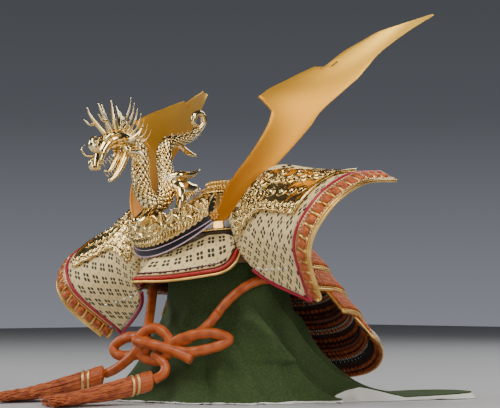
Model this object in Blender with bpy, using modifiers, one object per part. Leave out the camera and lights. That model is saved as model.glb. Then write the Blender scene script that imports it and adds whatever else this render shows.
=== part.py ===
"""Display kabuto: a samurai helmet with horns, dragon crest and ear flaps, on a cloth-covered stand.

Metres, +Z up. The front of the helmet faces -Y and its right ear flap is at +X.
The origin is the centre of the flat underside of the wooden stand.
"""
import math

import bmesh
import bpy
from mathutils import Matrix, Vector

# Clearances and walls
GAP = 0.0003
CLOTH = 0.0016
LEATHER = 0.002
LAME_WALL = 0.0024
TURN_STEPS = 24

# Placing of the helmet on its stand
HELMET_ROLL = math.radians(6.9)
ROLL_PIVOT_Z = 0.106

# Bowl, with heights above the table as if the helmet stood upright
BOWL_RADIUS = 0.062
BOWL_WALL = 0.002
BOWL_HEIGHT = 0.060
RIM_Z = 0.125
BOWL_FULLNESS = 0.95
CROWN_HOLE_RADIUS = 0.010
WAIST_HEIGHT = 0.020
WAIST_WALL = 0.0016
WAIST_FLARE = 0.010
LINING_DROP = 0.011
LINING_WALL = 0.0015
CROWN_RING_HEIGHT = 0.013
CROWN_RING_RADIUS = 0.019

# Stand and its cloth
HEAD_CLEARANCE = 0.010
HEAD_RADIUS = BOWL_RADIUS - HEAD_CLEARANCE
CLOTH_EASE = 0.0012
CROWN_EASE = 0.0006
POST_SHOULDER = 0.008
POST_RADIUS = HEAD_RADIUS - POST_SHOULDER
POST_ABOVE_BREAK = 0.045
BASE_RADIUS = 0.055
BASE_HEIGHT = 0.010
HEAD_SKIRT = 0.002
CLOTH_SWELL = 0.005
CLOTH_WAIST_RADIUS = HEAD_RADIUS + CLOTH_SWELL
CLOTH_BREAK_EASE = 0.001
CLOTH_BREAK_Z = 0.072
HEM_RADIUS = 0.100
HEM_FOLD = 0.004
HEM_FOLDS = 9
HEM_LIFT = 0.0006
WAIST_PLEAT_SHARE = 0.25
HEM_PLEAT_START = 0.35

# Visor
VISOR_REACH = 0.027
VISOR_DROP = 0.021
VISOR_HALF_ANGLE = math.radians(57)
VISOR_END_RISE = 0.010
VISOR_END_ROUND = 0.0055
VISOR_SEAT_RISE = 0.003
VISOR_SIDE_SHARE = 0.13
VISOR_BOW = 0.25
VISOR_RIDGE = 0.0012
VISOR_RIDGE_WIDTH = 8
VISOR_SAG = 0.0015
VISOR_END_SHARE = 0.86
VISOR_PIPING = 0.0036
VISOR_RIM = 0.0024

# Crescent, relief and horns
CRESCENT_STAND_OFF = 0.019
CRESCENT_RADIUS = BOWL_RADIUS + CRESCENT_STAND_OFF
CRESCENT_WALL = 0.0018
CRESCENT_HALF_ANGLE = math.radians(46)
CRESCENT_DEPTH = 0.017
CRESCENT_LIFT = 0.0010
CRESCENT_FOOT_Z = RIM_Z + CRESCENT_LIFT
CRESCENT_RISE = 0.024
CRESCENT_TAPER = 0.62
RELIEF_WALL = 0.001
RELIEF_HEIGHT = 0.0018
RELIEF_DEPTH = 0.021
RELIEF_SETBACK = 0.008
RELIEF_SCALLOP = 0.0016
RELIEF_LEAVES = 5
RELIEF_SPAN = 0.90
RELIEF_TAPER = 0.55
KNOB_RADIUS = 0.0045
KNOB_SPAN = 0.97
HORN_WALL = 0.0016
HORN_HEIGHT = 0.177
HORN_REACH = 0.109
HORN_SWEEP = 0.183
HORN_FOOT_ANGLE = math.radians(42.9)
HORN_SET_BACK = 0.0039
HORN_SEAT_RISE = 0.023
HORN_LEFT_LIFT = 0.016

# Dragon
DRAGON_LENGTH = 0.120
DRAGON_HEIGHT = 0.106
DRAGON_BODY_RADIUS = 0.0056
DRAGON_SINK = 0.0012

# Ear flaps
FLAP_REACH = 0.102
FLAP_DEPTH = 0.086
FLAP_HEIGHT = 0.115
FLAP_ROOT_OUT = 0.007
FLAP_ROOT_BACK = 0.010
FLAP_ROOT_RISE = 0.025
FLAP_FOLD_DEPTH = 0.024
FLAP_FOLD_RISE = 0.006
FLAP_FOLD_SWELL = 0.003
FLAP_FOLD_ANGLE = 0.012
FLAP_LACING_SHARE = 0.94
FLAP_LACING_SLOPE = math.radians(33)
FLAP_PIPING = 0.0036
FLAP_BORDER = 0.016
FLAP_RIM = 0.0024
PLAQUE_ROSETTES = 4
PLAQUE_ROWS = 2
FLAP_COLUMNS = 9
FLAP_ROWS = 9

# Neck guard
LAME_COUNT = 4
LAME_SLOPE = math.radians(53)
LAME_HEIGHT = 0.0270
LAME_LAP = 0.004
LAME_DROP = 0.0012
LAME_TOP_Z = RIM_Z + LAME_DROP
LAME_FRONT_ANGLE = math.radians(74)
LAME_STEP_ANGLE = math.radians(17)
LAME_BACK_STRETCH = 0.34

# Cord and tassels
CORD = 0.0082
KNOT_CORD = 0.0088
TASSEL_LENGTH = 0.092
TASSEL_SPREAD = 0.046
TASSEL_HEAD = 0.019

# Shares of the flap's reach, depth and height from its upper inner corner
# edge       reach  depth  height
TOP_EDGE = (
    (0.00, 0.00, 0.00),
    (0.16, 0.17, 0.22),
    (0.29, 0.37, 0.35),
    (0.56, 0.60, 0.29),
    (0.82, 0.76, 0.235),
    (1.00, 0.92, 0.21),
)
FREE_EDGE = (
    (1.00, 0.92, 0.21),
    (1.04, 0.40, 0.15),
    (1.00, 0.00, -0.04),
    (0.82, -0.08, -0.30),
    (0.59, 0.29, -0.65),
)
FOLD_EDGE = (
    (0.00, 0.00, 0.00),
    (0.04, 0.06, -0.24),
    (0.10, 0.14, -0.37),
)
BOTTOM_EDGE = (
    (0.10, 0.14, -0.37),
    (0.24, 0.23, -0.49),
    (0.59, 0.29, -0.65),
)
# Shares of the horn's reach, sweep and height from its foot: front edge, then back edge
HORN_FRONT = (
    (0.00, 0.00, 0.00),
    (0.14, 0.03, 0.15),
    (0.29, 0.12, 0.31),
    (0.36, 0.21, 0.46),
    (0.37, 0.23, 0.52),
    (0.32, 0.18, 0.585),
    (0.34, 0.36, 0.69),
    (0.37, 0.55, 0.765),
    (0.40, 0.575, 0.755),
    (0.52, 0.68, 0.855),
    (0.68, 0.81, 0.935),
    (1.00, 1.00, 1.00),
)
HORN_BACK = (
    (0.06, 0.05, 0.00),
    (0.22, 0.16, 0.15),
    (0.34, 0.29, 0.29),
    (0.41, 0.38, 0.39),
    (0.45, 0.43, 0.45),
    (0.49, 0.48, 0.52),
    (0.56, 0.58, 0.61),
    (0.62, 0.66, 0.68),
    (0.64, 0.69, 0.71),
    (0.71, 0.79, 0.82),
    (0.84, 0.915, 0.92),
    (1.01, 1.005, 0.995),
)
# Dragon strands: shares of its length back from the snout, of its height above the crest,
# of its length sideways, and of the body's radius
DRAGON_FOOT = ((0.49, 0.03, 0.00, 1.1), (0.52, 0.09, 0.00, 0.9), (0.55, 0.16, 0.02, 0.9))
DRAGON_BODY = (
    (0.28, 0.65, 0.00, 1.00),
    (0.36, 0.66, 0.00, 1.10),
    (0.43, 0.58, 0.00, 1.10),
    (0.42, 0.41, 0.00, 1.10),
    (0.44, 0.27, 0.00, 1.10),
    (0.51, 0.17, 0.02, 1.15),
    (0.60, 0.23, 0.04, 1.10),
    (0.64, 0.36, 0.03, 1.05),
    (0.63, 0.50, 0.02, 1.00),
    (0.64, 0.61, 0.01, 0.95),
    (0.71, 0.69, 0.00, 0.90),
    (0.82, 0.71, 0.00, 0.75),
    (0.92, 0.75, 0.00, 0.60),
    (0.98, 0.82, 0.00, 0.50),
)
DRAGON_TAIL = (
    (0.98, 0.82, 0.00, 0.50),
    (1.03, 0.90, 0.02, 0.55),
    (0.98, 0.96, 0.04, 0.55),
    (0.91, 0.93, 0.04, 0.50),
    (0.91, 0.86, 0.03, 0.35),
)
DRAGON_HEAD = (
    (0.34, 0.64, 0.00, 1.00),
    (0.26, 0.66, 0.00, 1.70),
    (0.14, 0.64, 0.00, 1.55),
    (0.05, 0.58, 0.00, 1.20),
    (0.00, 0.50, 0.00, 0.90),
)
DRAGON_JAW = ((0.27, 0.56, 0.00, 0.90), (0.21, 0.44, 0.00, 0.85), (0.13, 0.33, 0.00, 0.55))
DRAGON_HORN = ((0.22, 0.68, 0.05, 0.45), (0.18, 0.82, 0.06, 0.35), (0.15, 0.95, 0.07, 0.15))
DRAGON_EAR = ((0.27, 0.70, 0.06, 0.60), (0.29, 0.84, 0.07, 0.35), (0.28, 0.98, 0.08, 0.12))
DRAGON_MANE = ((0.32, 0.66, 0.04, 0.70), (0.36, 0.80, 0.06, 0.40), (0.38, 0.90, 0.07, 0.12))
DRAGON_NOSE = ((0.05, 0.62, 0.00, 0.55), (0.00, 0.76, 0.00, 0.40), (0.03, 0.88, 0.00, 0.15))
DRAGON_THIGH = ((0.62, 0.40, 0.04, 0.90), (0.70, 0.34, 0.10, 1.30), (0.66, 0.24, 0.13, 0.80))
DRAGON_SHIN = ((0.66, 0.24, 0.13, 0.75), (0.59, 0.20, 0.15, 0.60), (0.57, 0.12, 0.14, 0.50))
DRAGON_ARM = ((0.67, 0.64, 0.02, 0.75), (0.76, 0.58, 0.08, 0.80), (0.86, 0.50, 0.11, 0.45))
DRAGON_CLAW = ((0.62, 0.33, 0.02, 0.75), (0.63, 0.26, -0.08, 0.95), (0.58, 0.16, -0.10, 0.45))

# Direction of each stretch of hem from +X, its share of the hem radius and its lift as a share
# degrees  reach  lift
HEM = (
    (-180, 1.20, 0.00),
    (-130, 1.26, 0.06),
    (-105, 0.95, 0.00),
    (-80, 0.80, 0.00),
    (-40, 0.76, 0.00),
    (-5, 0.80, 0.00),
    (14, 0.86, 0.02),
    (26, 1.12, 0.14),
    (38, 1.45, 0.02),
    (50, 2.06, 0.05),
    (66, 1.45, 0.02),
    (100, 1.12, 0.00),
    (140, 1.10, 0.00),
)
# Main pleats of the cloth: direction, half width and height as a share of the hem fold
# degrees width height
PLEATS = (
    (-38, 11, 1.7),
    (-62, 13, 1.0),
    (-112, 15, 1.2),
    (8, 12, 1.6),
    (60, 14, 1.2),
)

# Route of the cord from one side of the knot round the post to the other, in millimetres
CORD_ROUTE = (
    (26, -80, 50), (38, -73, 56), (48, -62, 67), (54, -49, 84), (58, -34, 97),
    (62, -16, 105), (63, 6, 106), (56, 30, 104), (37, 52, 102), (7, 64, 100),
    (-26, 58, 98), (-52, 36, 97), (-63, 5, 97), (-57, -29, 98), (-40, -53, 98),
    (-25, -66, 90), (-16, -76, 79), (-7, -83, 66), (0, -86, 56),
)
RIGHT_LOOP = ((23, -83, 50), (40, -75, 58), (56, -63, 60), (64, -53, 55), (56, -63, 48), (36, -78, 44))
LEFT_LOOP = ((0, -90, 54), (-20, -94, 56), (-36, -98, 49), (-33, -99, 41), (-17, -95, 40), (-2, -91, 44))
ROUND_LOOP = (
    (-8, -94, 50), (-3, -92, 60), (10, -88, 64), (21, -84, 56),
    (21, -83, 44), (10, -88, 36), (-4, -93, 40),
)
ACROSS = ((-7, -98, 54), (8, -95, 51), (26, -85, 46), (43, -76, 38))
RIGHT_TAIL = ((10, -90, 42), (22, -88, 33), (24, -91, 26), (18, -96, 21))
LEFT_TAIL = ((4, -94, 44), (-12, -98, 36), (-28, -102, 29), (-40, -105, 24))
RIGHT_TASSEL_END = (-0.019, -0.182)
LEFT_TASSEL_END = (-0.098, -0.176)
TASSEL_FOOT_Z = 0.0046


def clear_scene():
    for item in list(bpy.data.objects):
        bpy.data.objects.remove(item, do_unlink=True)


def collection(name):
    group = bpy.data.collections.new(name)
    bpy.context.scene.collection.children.link(group)
    return group


def material(name, colour, roughness, metallic=0.0):
    made = bpy.data.materials.new(name)
    made.use_nodes = True
    shader = made.node_tree.nodes["Principled BSDF"]
    shader.inputs["Base Color"].default_value = (*colour, 1.0)
    shader.inputs["Roughness"].default_value = roughness
    shader.inputs["Metallic"].default_value = metallic
    return made


clear_scene()
PARTS = collection("kabuto")
CUTTERS = collection("cutters")
BLACK = material("black_lacquer", (0.01, 0.01, 0.012), 0.2)
GOLD = material("gold_plate", (0.83, 0.58, 0.22), 0.3, 1.0)
PALE_GOLD = material("pale_gold_casting", (0.86, 0.76, 0.45), 0.35, 1.0)
PRINT = material("printed_leather", (0.83, 0.76, 0.62), 0.6)
RED = material("red_piping", (0.58, 0.02, 0.05), 0.5)
LACING = material("orange_lacing", (0.66, 0.26, 0.10), 0.6)
SILK = material("orange_silk", (0.68, 0.15, 0.04), 0.45)
BROCADE = material("gold_brocade", (0.50, 0.27, 0.05), 0.6)
CREPE = material("green_crepe", (0.045, 0.09, 0.03), 0.9)
WOOD = material("pale_wood", (0.60, 0.45, 0.28), 0.6)

HELMET = bpy.data.objects.new("helmet_seat", None)
PARTS.objects.link(HELMET)
HELMET.location = (0.0, 0.0, ROLL_PIVOT_Z)
HELMET.rotation_euler = (0.0, -HELMET_ROLL, 0.0)
UPRIGHT = Matrix.Translation((0.0, 0.0, -ROLL_PIVOT_Z))
SEATED = Matrix.Translation((0.0, 0.0, ROLL_PIVOT_Z)) @ Matrix.Rotation(-HELMET_ROLL, 4, "Y") @ UPRIGHT


def place(name, data, finish, on_helmet, group=PARTS):
    """Link an object; a helmet piece hangs on the rolled seat and keeps upright coordinates."""
    made = bpy.data.objects.new(name, data)
    group.objects.link(made)
    if not data.materials:
        data.materials.append(finish)
    if on_helmet:
        made.parent = HELMET
        made.matrix_parent_inverse = UPRIGHT
    return made


def smooth_faces(mesh, angle=40):
    mesh.shade_smooth()
    mesh.set_sharp_from_angle(angle=math.radians(angle))


def spline(points, count, closed=False):
    """Catmull-Rom curve through the points, sampled evenly by chord."""
    knots = [Vector(p) for p in points]
    if closed:
        knots = [knots[-1]] + knots + [knots[0], knots[1]]
    else:
        knots = [knots[0] * 2 - knots[1]] + knots + [knots[-1] * 2 - knots[-2]]
    spans = len(knots) - 3
    chords = [0.0]
    for i in range(spans):
        chords.append(chords[-1] + (knots[i + 2] - knots[i + 1]).length)
    made = []
    for n in range(count):
        share = n / count if closed else n / (count - 1)
        target = share * chords[-1]
        i = min(spans - 1, next((k for k in range(spans) if chords[k + 1] >= target), spans - 1))
        t = (target - chords[i]) / (chords[i + 1] - chords[i])
        a, b, c, d = knots[i:i + 4]
        made.append(0.5 * (2 * b + (c - a) * t + (2 * a - 5 * b + 4 * c - d) * t ** 2
                           + (3 * b - a - 3 * c + d) * t ** 3))
    return made


def blend_table(rows, value, column, period=None):
    """Smoothly interpolate one column of a table along its first column."""
    table = list(rows)
    if period:
        table = [(r[0] - period, *r[1:]) for r in rows] + table + [(r[0] + period, *r[1:]) for r in rows]
    low = max((r for r in table if r[0] <= value), key=lambda r: r[0], default=table[0])
    high = min((r for r in table if r[0] > value), key=lambda r: r[0], default=table[-1])
    if high[0] == low[0]:
        return low[column]
    t = (value - low[0]) / (high[0] - low[0])
    t = t * t * (3 - 2 * t)
    return low[column] + (high[column] - low[column]) * t


def sheet(name, rows, wall, finish, on_helmet=True, closed=False, capped=False):
    """A wall of even thickness about a grid of points; closed joins each row's ends."""
    bm = bmesh.new()
    grid = [[bm.verts.new(p) for p in row] for row in rows]
    width = len(grid[0])
    for upper, lower in zip(grid, grid[1:]):
        for i in range(width if closed else width - 1):
            j = (i + 1) % width
            bm.faces.new((upper[i], lower[i], lower[j], upper[j]))
    if capped:
        centre = sum((v.co for v in grid[0]), Vector()) / width
        pole = bm.verts.new(centre)
        for i in range(width):
            bm.faces.new((pole, grid[0][i], grid[0][(i + 1) % width]))
    bmesh.ops.recalc_face_normals(bm, faces=bm.faces)
    mesh = bpy.data.meshes.new(name)
    bm.to_mesh(mesh)
    bm.free()
    smooth_faces(mesh)
    made = place(name, mesh, finish, on_helmet)
    shell = made.modifiers.new("wall", "SOLIDIFY")
    shell.thickness = wall
    shell.offset = 0.0
    return made


def turned(name, profile, finish, on_helmet=True, steps=TURN_STEPS):
    """Screw a closed profile of (radius, height) points about the upright axis."""
    bm = bmesh.new()
    ring = [bm.verts.new((r, 0.0, z)) for r, z in profile]
    open_ends = profile[0][0] == 0.0 and profile[-1][0] == 0.0
    for i in range(len(ring) - (1 if open_ends else 0)):
        bm.edges.new((ring[i], ring[(i + 1) % len(ring)]))
    mesh = bpy.data.meshes.new(name)
    bm.to_mesh(mesh)
    bm.free()
    made = place(name, mesh, finish, on_helmet)
    screw = made.modifiers.new("turn", "SCREW")
    screw.steps = steps
    screw.render_steps = steps
    screw.use_merge_vertices = True
    screw.merge_threshold = 0.00002
    screw.use_smooth_shade = True
    return made


def tube_curve(name, points, radius, shares=None, closed=False, sides=2):
    curve = bpy.data.curves.new(name, "CURVE")
    curve.dimensions = "3D"
    curve.bevel_depth = radius
    curve.bevel_resolution = sides
    curve.render_resolution_u = 0
    curve.use_fill_caps = not closed
    line = curve.splines.new("POLY")
    line.points.add(len(points) - 1)
    for i, p in enumerate(points):
        line.points[i].co = (*p, 1.0)
        line.points[i].radius = shares[i] if shares else 1.0
    line.use_cyclic_u = closed
    return curve


def tube(name, points, diameter, finish, on_helmet=True):
    """A round rod along the points."""
    return place(name, tube_curve(name, points, diameter / 2, sides=1), finish, on_helmet)


def tube_mesh(name, points, radius, shares=None, closed=False, sides=2):
    """The same rod as a closed mesh that can be joined to others."""
    data = tube_curve(name, points, radius, shares, closed, sides)
    carrier = bpy.data.objects.new(name, data)
    CUTTERS.objects.link(carrier)
    graph = bpy.context.evaluated_depsgraph_get()
    mesh = bpy.data.meshes.new_from_object(carrier.evaluated_get(graph))
    bpy.data.objects.remove(carrier, do_unlink=True)
    bm = bmesh.new()
    bm.from_mesh(mesh)
    bmesh.ops.remove_doubles(bm, verts=bm.verts, dist=0.00001)
    bmesh.ops.recalc_face_normals(bm, faces=bm.faces)
    bm.to_mesh(mesh)
    bm.free()
    return mesh


def ball_mesh(name, centre, radii, segments=10):
    bm = bmesh.new()
    bmesh.ops.create_uvsphere(bm, u_segments=segments, v_segments=segments // 2, radius=1.0)
    bmesh.ops.scale(bm, vec=radii, verts=bm.verts)
    bmesh.ops.translate(bm, vec=centre, verts=bm.verts)
    mesh = bpy.data.meshes.new(name)
    bm.to_mesh(mesh)
    bm.free()
    return mesh


def fuse(name, meshes, finish, on_helmet=True):
    """Join meshes into one body with a chain of unions."""
    base = place(name, meshes[0], finish, on_helmet)
    for i, mesh in enumerate(meshes[1:]):
        piece = place(f"{name}_piece_{i}", mesh, finish, on_helmet, CUTTERS)
        piece.hide_render = True
        piece.display_type = "WIRE"
        union = base.modifiers.new(f"union_{i}", "BOOLEAN")
        union.operation = "UNION"
        union.solver = "EXACT"
        union.use_self = True
        union.object = piece
    return base


def on_circle(angle, radius, height):
    """A point at an angle from the front, turning towards +X."""
    return Vector((radius * math.sin(angle), -radius * math.cos(angle), height))


def mirrored(points):
    return [Vector((-p[0], p[1], p[2])) for p in points]


def bowl_profile(radius, height, lowest, highest, count):
    """Points of the dome between two angles up its side."""
    made = []
    for i in range(count):
        a = lowest + (highest - lowest) * i / (count - 1)
        made.append((radius * math.cos(a) ** BOWL_FULLNESS, RIM_Z + height * math.sin(a)))
    return made


def dome_angle(radius, rim_radius):
    return math.acos((radius / rim_radius) ** (1 / BOWL_FULLNESS))


def build_bowl():
    inner_radius = BOWL_RADIUS - BOWL_WALL
    outer = bowl_profile(BOWL_RADIUS, BOWL_HEIGHT, 0.0, dome_angle(CROWN_HOLE_RADIUS, BOWL_RADIUS), 6)
    inner_end = dome_angle(CROWN_HOLE_RADIUS, inner_radius)
    inner = bowl_profile(inner_radius, BOWL_HEIGHT - BOWL_WALL, 0.0, inner_end, 5)
    turned("bowl", list(reversed(outer)) + inner, BLACK)


def waist_surface(height):
    """Radius of the waist band's outside at a height."""
    foot = BOWL_RADIUS + WAIST_FLARE + WAIST_WALL
    climb = math.asin(WAIST_HEIGHT / BOWL_HEIGHT)
    top = BOWL_RADIUS * math.cos(climb) ** BOWL_FULLNESS + GAP + WAIST_WALL
    return foot + (top - foot) * (height - RIM_Z) / WAIST_HEIGHT


def build_waist_band():
    """Lacquered band riveted round the bowl, flaring out to carry the visor and the neck guard."""
    top = RIM_Z + WAIST_HEIGHT
    profile = [(waist_surface(top), top), (waist_surface(RIM_Z), RIM_Z)]
    profile += [(waist_surface(RIM_Z) - WAIST_WALL, RIM_Z), (waist_surface(top) - WAIST_WALL, top)]
    turned("waist_band", profile, BLACK)


def build_lining():
    outer = BOWL_RADIUS - BOWL_WALL - 2 * GAP
    inner = outer - LINING_WALL
    top = RIM_Z + LINING_DROP / 8
    low = RIM_Z - LINING_DROP
    turned("lining_band", [(outer, top), (outer, low), (inner, low), (inner, top)], BROCADE)


def build_crown_ring():
    """Stepped ring that stands over the hole in the crown."""
    seat = RIM_Z + BOWL_HEIGHT * math.sin(dome_angle(CROWN_RING_RADIUS, BOWL_RADIUS)) + GAP
    crown = RIM_Z + BOWL_HEIGHT + GAP
    bore = CROWN_HOLE_RADIUS * 0.75
    shares = ((1.0, 0.0), (1.0, 0.12), (0.78, 0.30), (0.84, 0.42), (0.60, 0.62), (0.66, 0.80), (0.55, 1.0))
    outer = [(CROWN_RING_RADIUS * r, seat + CROWN_RING_HEIGHT * z) for r, z in shares]
    under = [(bore, outer[-1][1]), (bore, crown), (CROWN_HOLE_RADIUS, crown)]
    step = [(CROWN_RING_RADIUS * 0.75, crown - 0.0004)]
    turned("crown_ring", list(reversed(outer)) + step + list(reversed(under)), GOLD, steps=16)


def build_stand():
    """Wooden post on a round foot, with a domed head tilted into the bowl."""
    bm_post = bmesh.new()
    post_top = CLOTH_BREAK_Z + POST_ABOVE_BREAK
    bmesh.ops.create_cone(
        bm_post, cap_ends=True, segments=TURN_STEPS, radius1=BASE_RADIUS, radius2=BASE_RADIUS,
        depth=BASE_HEIGHT, matrix=Matrix.Translation((0, 0, BASE_HEIGHT / 2)))
    foot = bpy.data.meshes.new("stand")
    bm_post.to_mesh(foot)
    bm_post.free()
    bm_shaft = bmesh.new()
    depth = post_top - BASE_HEIGHT / 2
    bmesh.ops.create_cone(
        bm_shaft, cap_ends=True, segments=TURN_STEPS, radius1=POST_RADIUS, radius2=POST_RADIUS,
        depth=depth, matrix=Matrix.Translation((0, 0, BASE_HEIGHT / 2 + depth / 2)))
    shaft = bpy.data.meshes.new("shaft")
    bm_shaft.to_mesh(shaft)
    bm_shaft.free()
    head_radius = HEAD_RADIUS - CLOTH - CLOTH_EASE
    head_height = BOWL_HEIGHT - BOWL_WALL - CLOTH - CLOTH_EASE
    rows = bowl_profile(head_radius, head_height, 0.0, math.radians(84), 5)
    rows = [(head_radius, ROLL_PIVOT_Z - HEAD_SKIRT)] + rows
    bm_head = bmesh.new()
    rings = []
    for radius, height in rows:
        ring = []
        for i in range(TURN_STEPS):
            p = on_circle(2 * math.pi * i / TURN_STEPS, radius, height)
            ring.append(bm_head.verts.new(SEATED @ p))
        rings.append(ring)
    for low, high in zip(rings, rings[1:]):
        for i in range(TURN_STEPS):
            j = (i + 1) % TURN_STEPS
            bm_head.faces.new((low[i], low[j], high[j], high[i]))
    bm_head.faces.new(reversed(rings[0]))
    bm_head.faces.new(rings[-1])
    bmesh.ops.recalc_face_normals(bm_head, faces=bm_head.faces)
    head = bpy.data.meshes.new("head")
    bm_head.to_mesh(head)
    bm_head.free()
    fuse("stand", [foot, shaft, head], WOOD, on_helmet=False)


def pleat(degrees):
    """How far the pleats and the even folds stand out in a direction."""
    out = 0.35 * math.cos(math.radians(degrees) * HEM_FOLDS)
    for centre, width, height in PLEATS:
        away = (degrees - centre + 180) % 360 - 180
        out += height * math.exp(-(away / width) ** 2)
    return out


def build_cloth():
    """Cloth thrown over the head, gathered by the cord and spread on the table."""
    columns = 28
    rows = []
    dome_radius = HEAD_RADIUS - CLOTH / 2
    dome_height = BOWL_HEIGHT - BOWL_WALL - GAP - CLOTH / 2 + CROWN_EASE
    for radius, height in reversed(bowl_profile(dome_radius, dome_height, 0.0, math.radians(84), 5)):
        rows.append([SEATED @ on_circle(2 * math.pi * i / columns, radius, height) for i in range(columns)])
    waist_z = (RIM_Z + CLOTH_BREAK_Z) / 2
    for share in (0.5, 1.0):
        ring = []
        for i in range(columns):
            angle = 2 * math.pi * i / columns
            degrees = math.degrees(angle) - 90
            out = HEM_FOLD * WAIST_PLEAT_SHARE * share * max(0.0, pleat(degrees))
            radius = dome_radius + (CLOTH_WAIST_RADIUS - dome_radius) * share + out
            height = RIM_Z + (waist_z - RIM_Z) * share
            lean = (SEATED @ on_circle(angle, radius, height)) * (1 - share)
            ring.append(lean + on_circle(angle, radius, height) * share)
        rows.append(ring)
    steps = 5
    for step in range(steps + 1):
        share = step / steps
        ring = []
        for i in range(columns):
            angle = 2 * math.pi * i / columns
            degrees = math.degrees(angle) - 90
            reach = HEM_RADIUS * blend_table(HEM, degrees, 1, 360)
            lift = HEM_RADIUS * blend_table(HEM, degrees, 2, 360)
            spread = max(0.0, reach - CLOTH_WAIST_RADIUS)
            fall = 1.0 + 2.4 * spread / HEM_RADIUS
            grown = HEM_PLEAT_START + (1 - HEM_PLEAT_START) * share
            out = HEM_FOLD * grown * pleat(degrees) * min(1.0, 0.5 + spread / HEM_RADIUS)
            radius = CLOTH_WAIST_RADIUS + CLOTH_BREAK_EASE + spread * share + max(0.0, out)
            low = CLOTH / 2 + HEM_LIFT
            raised = lift * share ** 2 * (1.8 - 0.8 * share)
            height = low + (CLOTH_BREAK_Z - low) * (1 - share) ** fall + raised
            ring.append(on_circle(angle, radius, height))
        rows.append(ring)
    sheet("stand_cloth", rows, CLOTH, CREPE, on_helmet=False, closed=True, capped=True)


def waist_seat():
    """Radius just clear of the foot of the waist band."""
    return waist_surface(RIM_Z) + GAP


def visor_edges(angle):
    """Inner and outer edge of the visor at an angle from the front."""
    share = abs(angle) / VISOR_HALF_ANGLE
    root = waist_seat()
    rise = VISOR_END_RISE * min(1.0, share * 1.5) ** 2
    close = max(0.0, (share - VISOR_END_SHARE) / (1 - VISOR_END_SHARE)) ** 2
    ridge = VISOR_RIDGE * math.exp(-(math.degrees(angle) / VISOR_RIDGE_WIDTH) ** 2)
    reach = VISOR_REACH * (VISOR_SIDE_SHARE + (1 - VISOR_SIDE_SHARE) * math.exp(-share / VISOR_BOW))
    inner_z = RIM_Z + VISOR_SEAT_RISE + rise - VISOR_END_ROUND * close
    inner = (waist_surface(inner_z) + LEATHER, inner_z)
    drop = VISOR_DROP * (1 - 0.2 * share ** 2)
    outer_z = RIM_Z + VISOR_SEAT_RISE - drop + 2 * VISOR_END_ROUND * close + ridge
    return inner, (root + reach, outer_z)


def visor_point(angle, share):
    inner, outer = visor_edges(angle)
    sag = VISOR_SAG * math.sin(math.pi * share)
    height = inner[1] + (outer[1] - inner[1]) * share + sag
    radius = inner[0] + (outer[0] - inner[0]) * share
    clear = waist_surface(max(height, RIM_Z)) + LEATHER * 1.6
    return on_circle(angle, max(radius, clear), height)


def set_off(edge, inside, distance):
    """Move an edge out at right angles to itself, away from the matching points inside it."""
    moved = []
    for i, here in enumerate(edge):
        along = (edge[min(i + 1, len(edge) - 1)] - edge[max(i - 1, 0)]).normalized()
        away = here - inside[i]
        away = (away - along * away.dot(along)).normalized()
        step = (edge[min(i + 1, len(edge) - 1)] - here or along).normalized()
        mitre = math.sqrt(max(0.3, 1 - away.dot(step) ** 2))
        moved.append(here + away * distance / mitre)
    return moved


def visor_border(distance):
    """A line round the outer edge and both ends, set off from the leather by a distance."""
    path = [(-VISOR_HALF_ANGLE, s) for s in (0.25, 0.6)]
    path += [(VISOR_HALF_ANGLE * k / 14, 1.0) for k in range(-14, 15)]
    path += [(VISOR_HALF_ANGLE, s) for s in (0.6, 0.25)]
    edge = [visor_point(angle, share) for angle, share in path]
    inside = [visor_point(angle * 0.93, share * 0.8) for angle, share in path]
    return spline(set_off(edge, inside, distance), 22)


def build_visor():
    rows = []
    for k in range(4):
        rows.append([visor_point(VISOR_HALF_ANGLE * i / 9, k / 3) for i in range(-9, 10)])
    sheet("visor", rows, LEATHER, PRINT)
    piping_out = VISOR_PIPING / 2 + GAP * 4
    tube("visor_piping", visor_border(piping_out), VISOR_PIPING, RED)
    rim_out = piping_out + VISOR_PIPING / 2 + VISOR_RIM / 2 + GAP * 2
    tube("visor_rim", visor_border(rim_out), VISOR_RIM, GOLD)


def crescent_foot(angle):
    share = abs(angle) / CRESCENT_HALF_ANGLE
    return CRESCENT_FOOT_Z + CRESCENT_RISE * share ** 2


def crescent_depth(angle):
    share = abs(angle) / CRESCENT_HALF_ANGLE
    return CRESCENT_DEPTH * (1 - CRESCENT_TAPER * share ** 3)


def build_crescent():
    rows = []
    for k in range(3):
        row = []
        for i in range(-9, 10):
            angle = CRESCENT_HALF_ANGLE * i / 9
            height = crescent_foot(angle) + crescent_depth(angle) * k / 2
            row.append(on_circle(angle, CRESCENT_RADIUS, height))
        rows.append(row)
    sheet("crest_crescent", rows, CRESCENT_WALL, BLACK)


def relief_point(angle, share):
    """Cast leaves and rosettes that stand out from the crescent, with a scalloped edge."""
    across = abs(angle) / CRESCENT_HALF_ANGLE
    scallop = RELIEF_SCALLOP * abs(math.sin(angle / CRESCENT_HALF_ANGLE * math.pi * RELIEF_LEAVES))
    low = crescent_foot(angle) + RELIEF_SETBACK - scallop
    depth = (RELIEF_DEPTH + 2 * scallop) * (1 - RELIEF_TAPER * across ** 2)
    wave = math.sin(angle / CRESCENT_HALF_ANGLE * math.pi * 6) * math.sin(share * math.pi * 2.5)
    out = RELIEF_HEIGHT * (0.5 + 0.5 * wave) * math.sin(math.pi * min(1.0, max(0.0, share))) ** 0.5
    radius = CRESCENT_RADIUS + CRESCENT_WALL / 2 + RELIEF_WALL / 2 + GAP * 2 + out
    return on_circle(angle, radius, low + depth * share)


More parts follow.
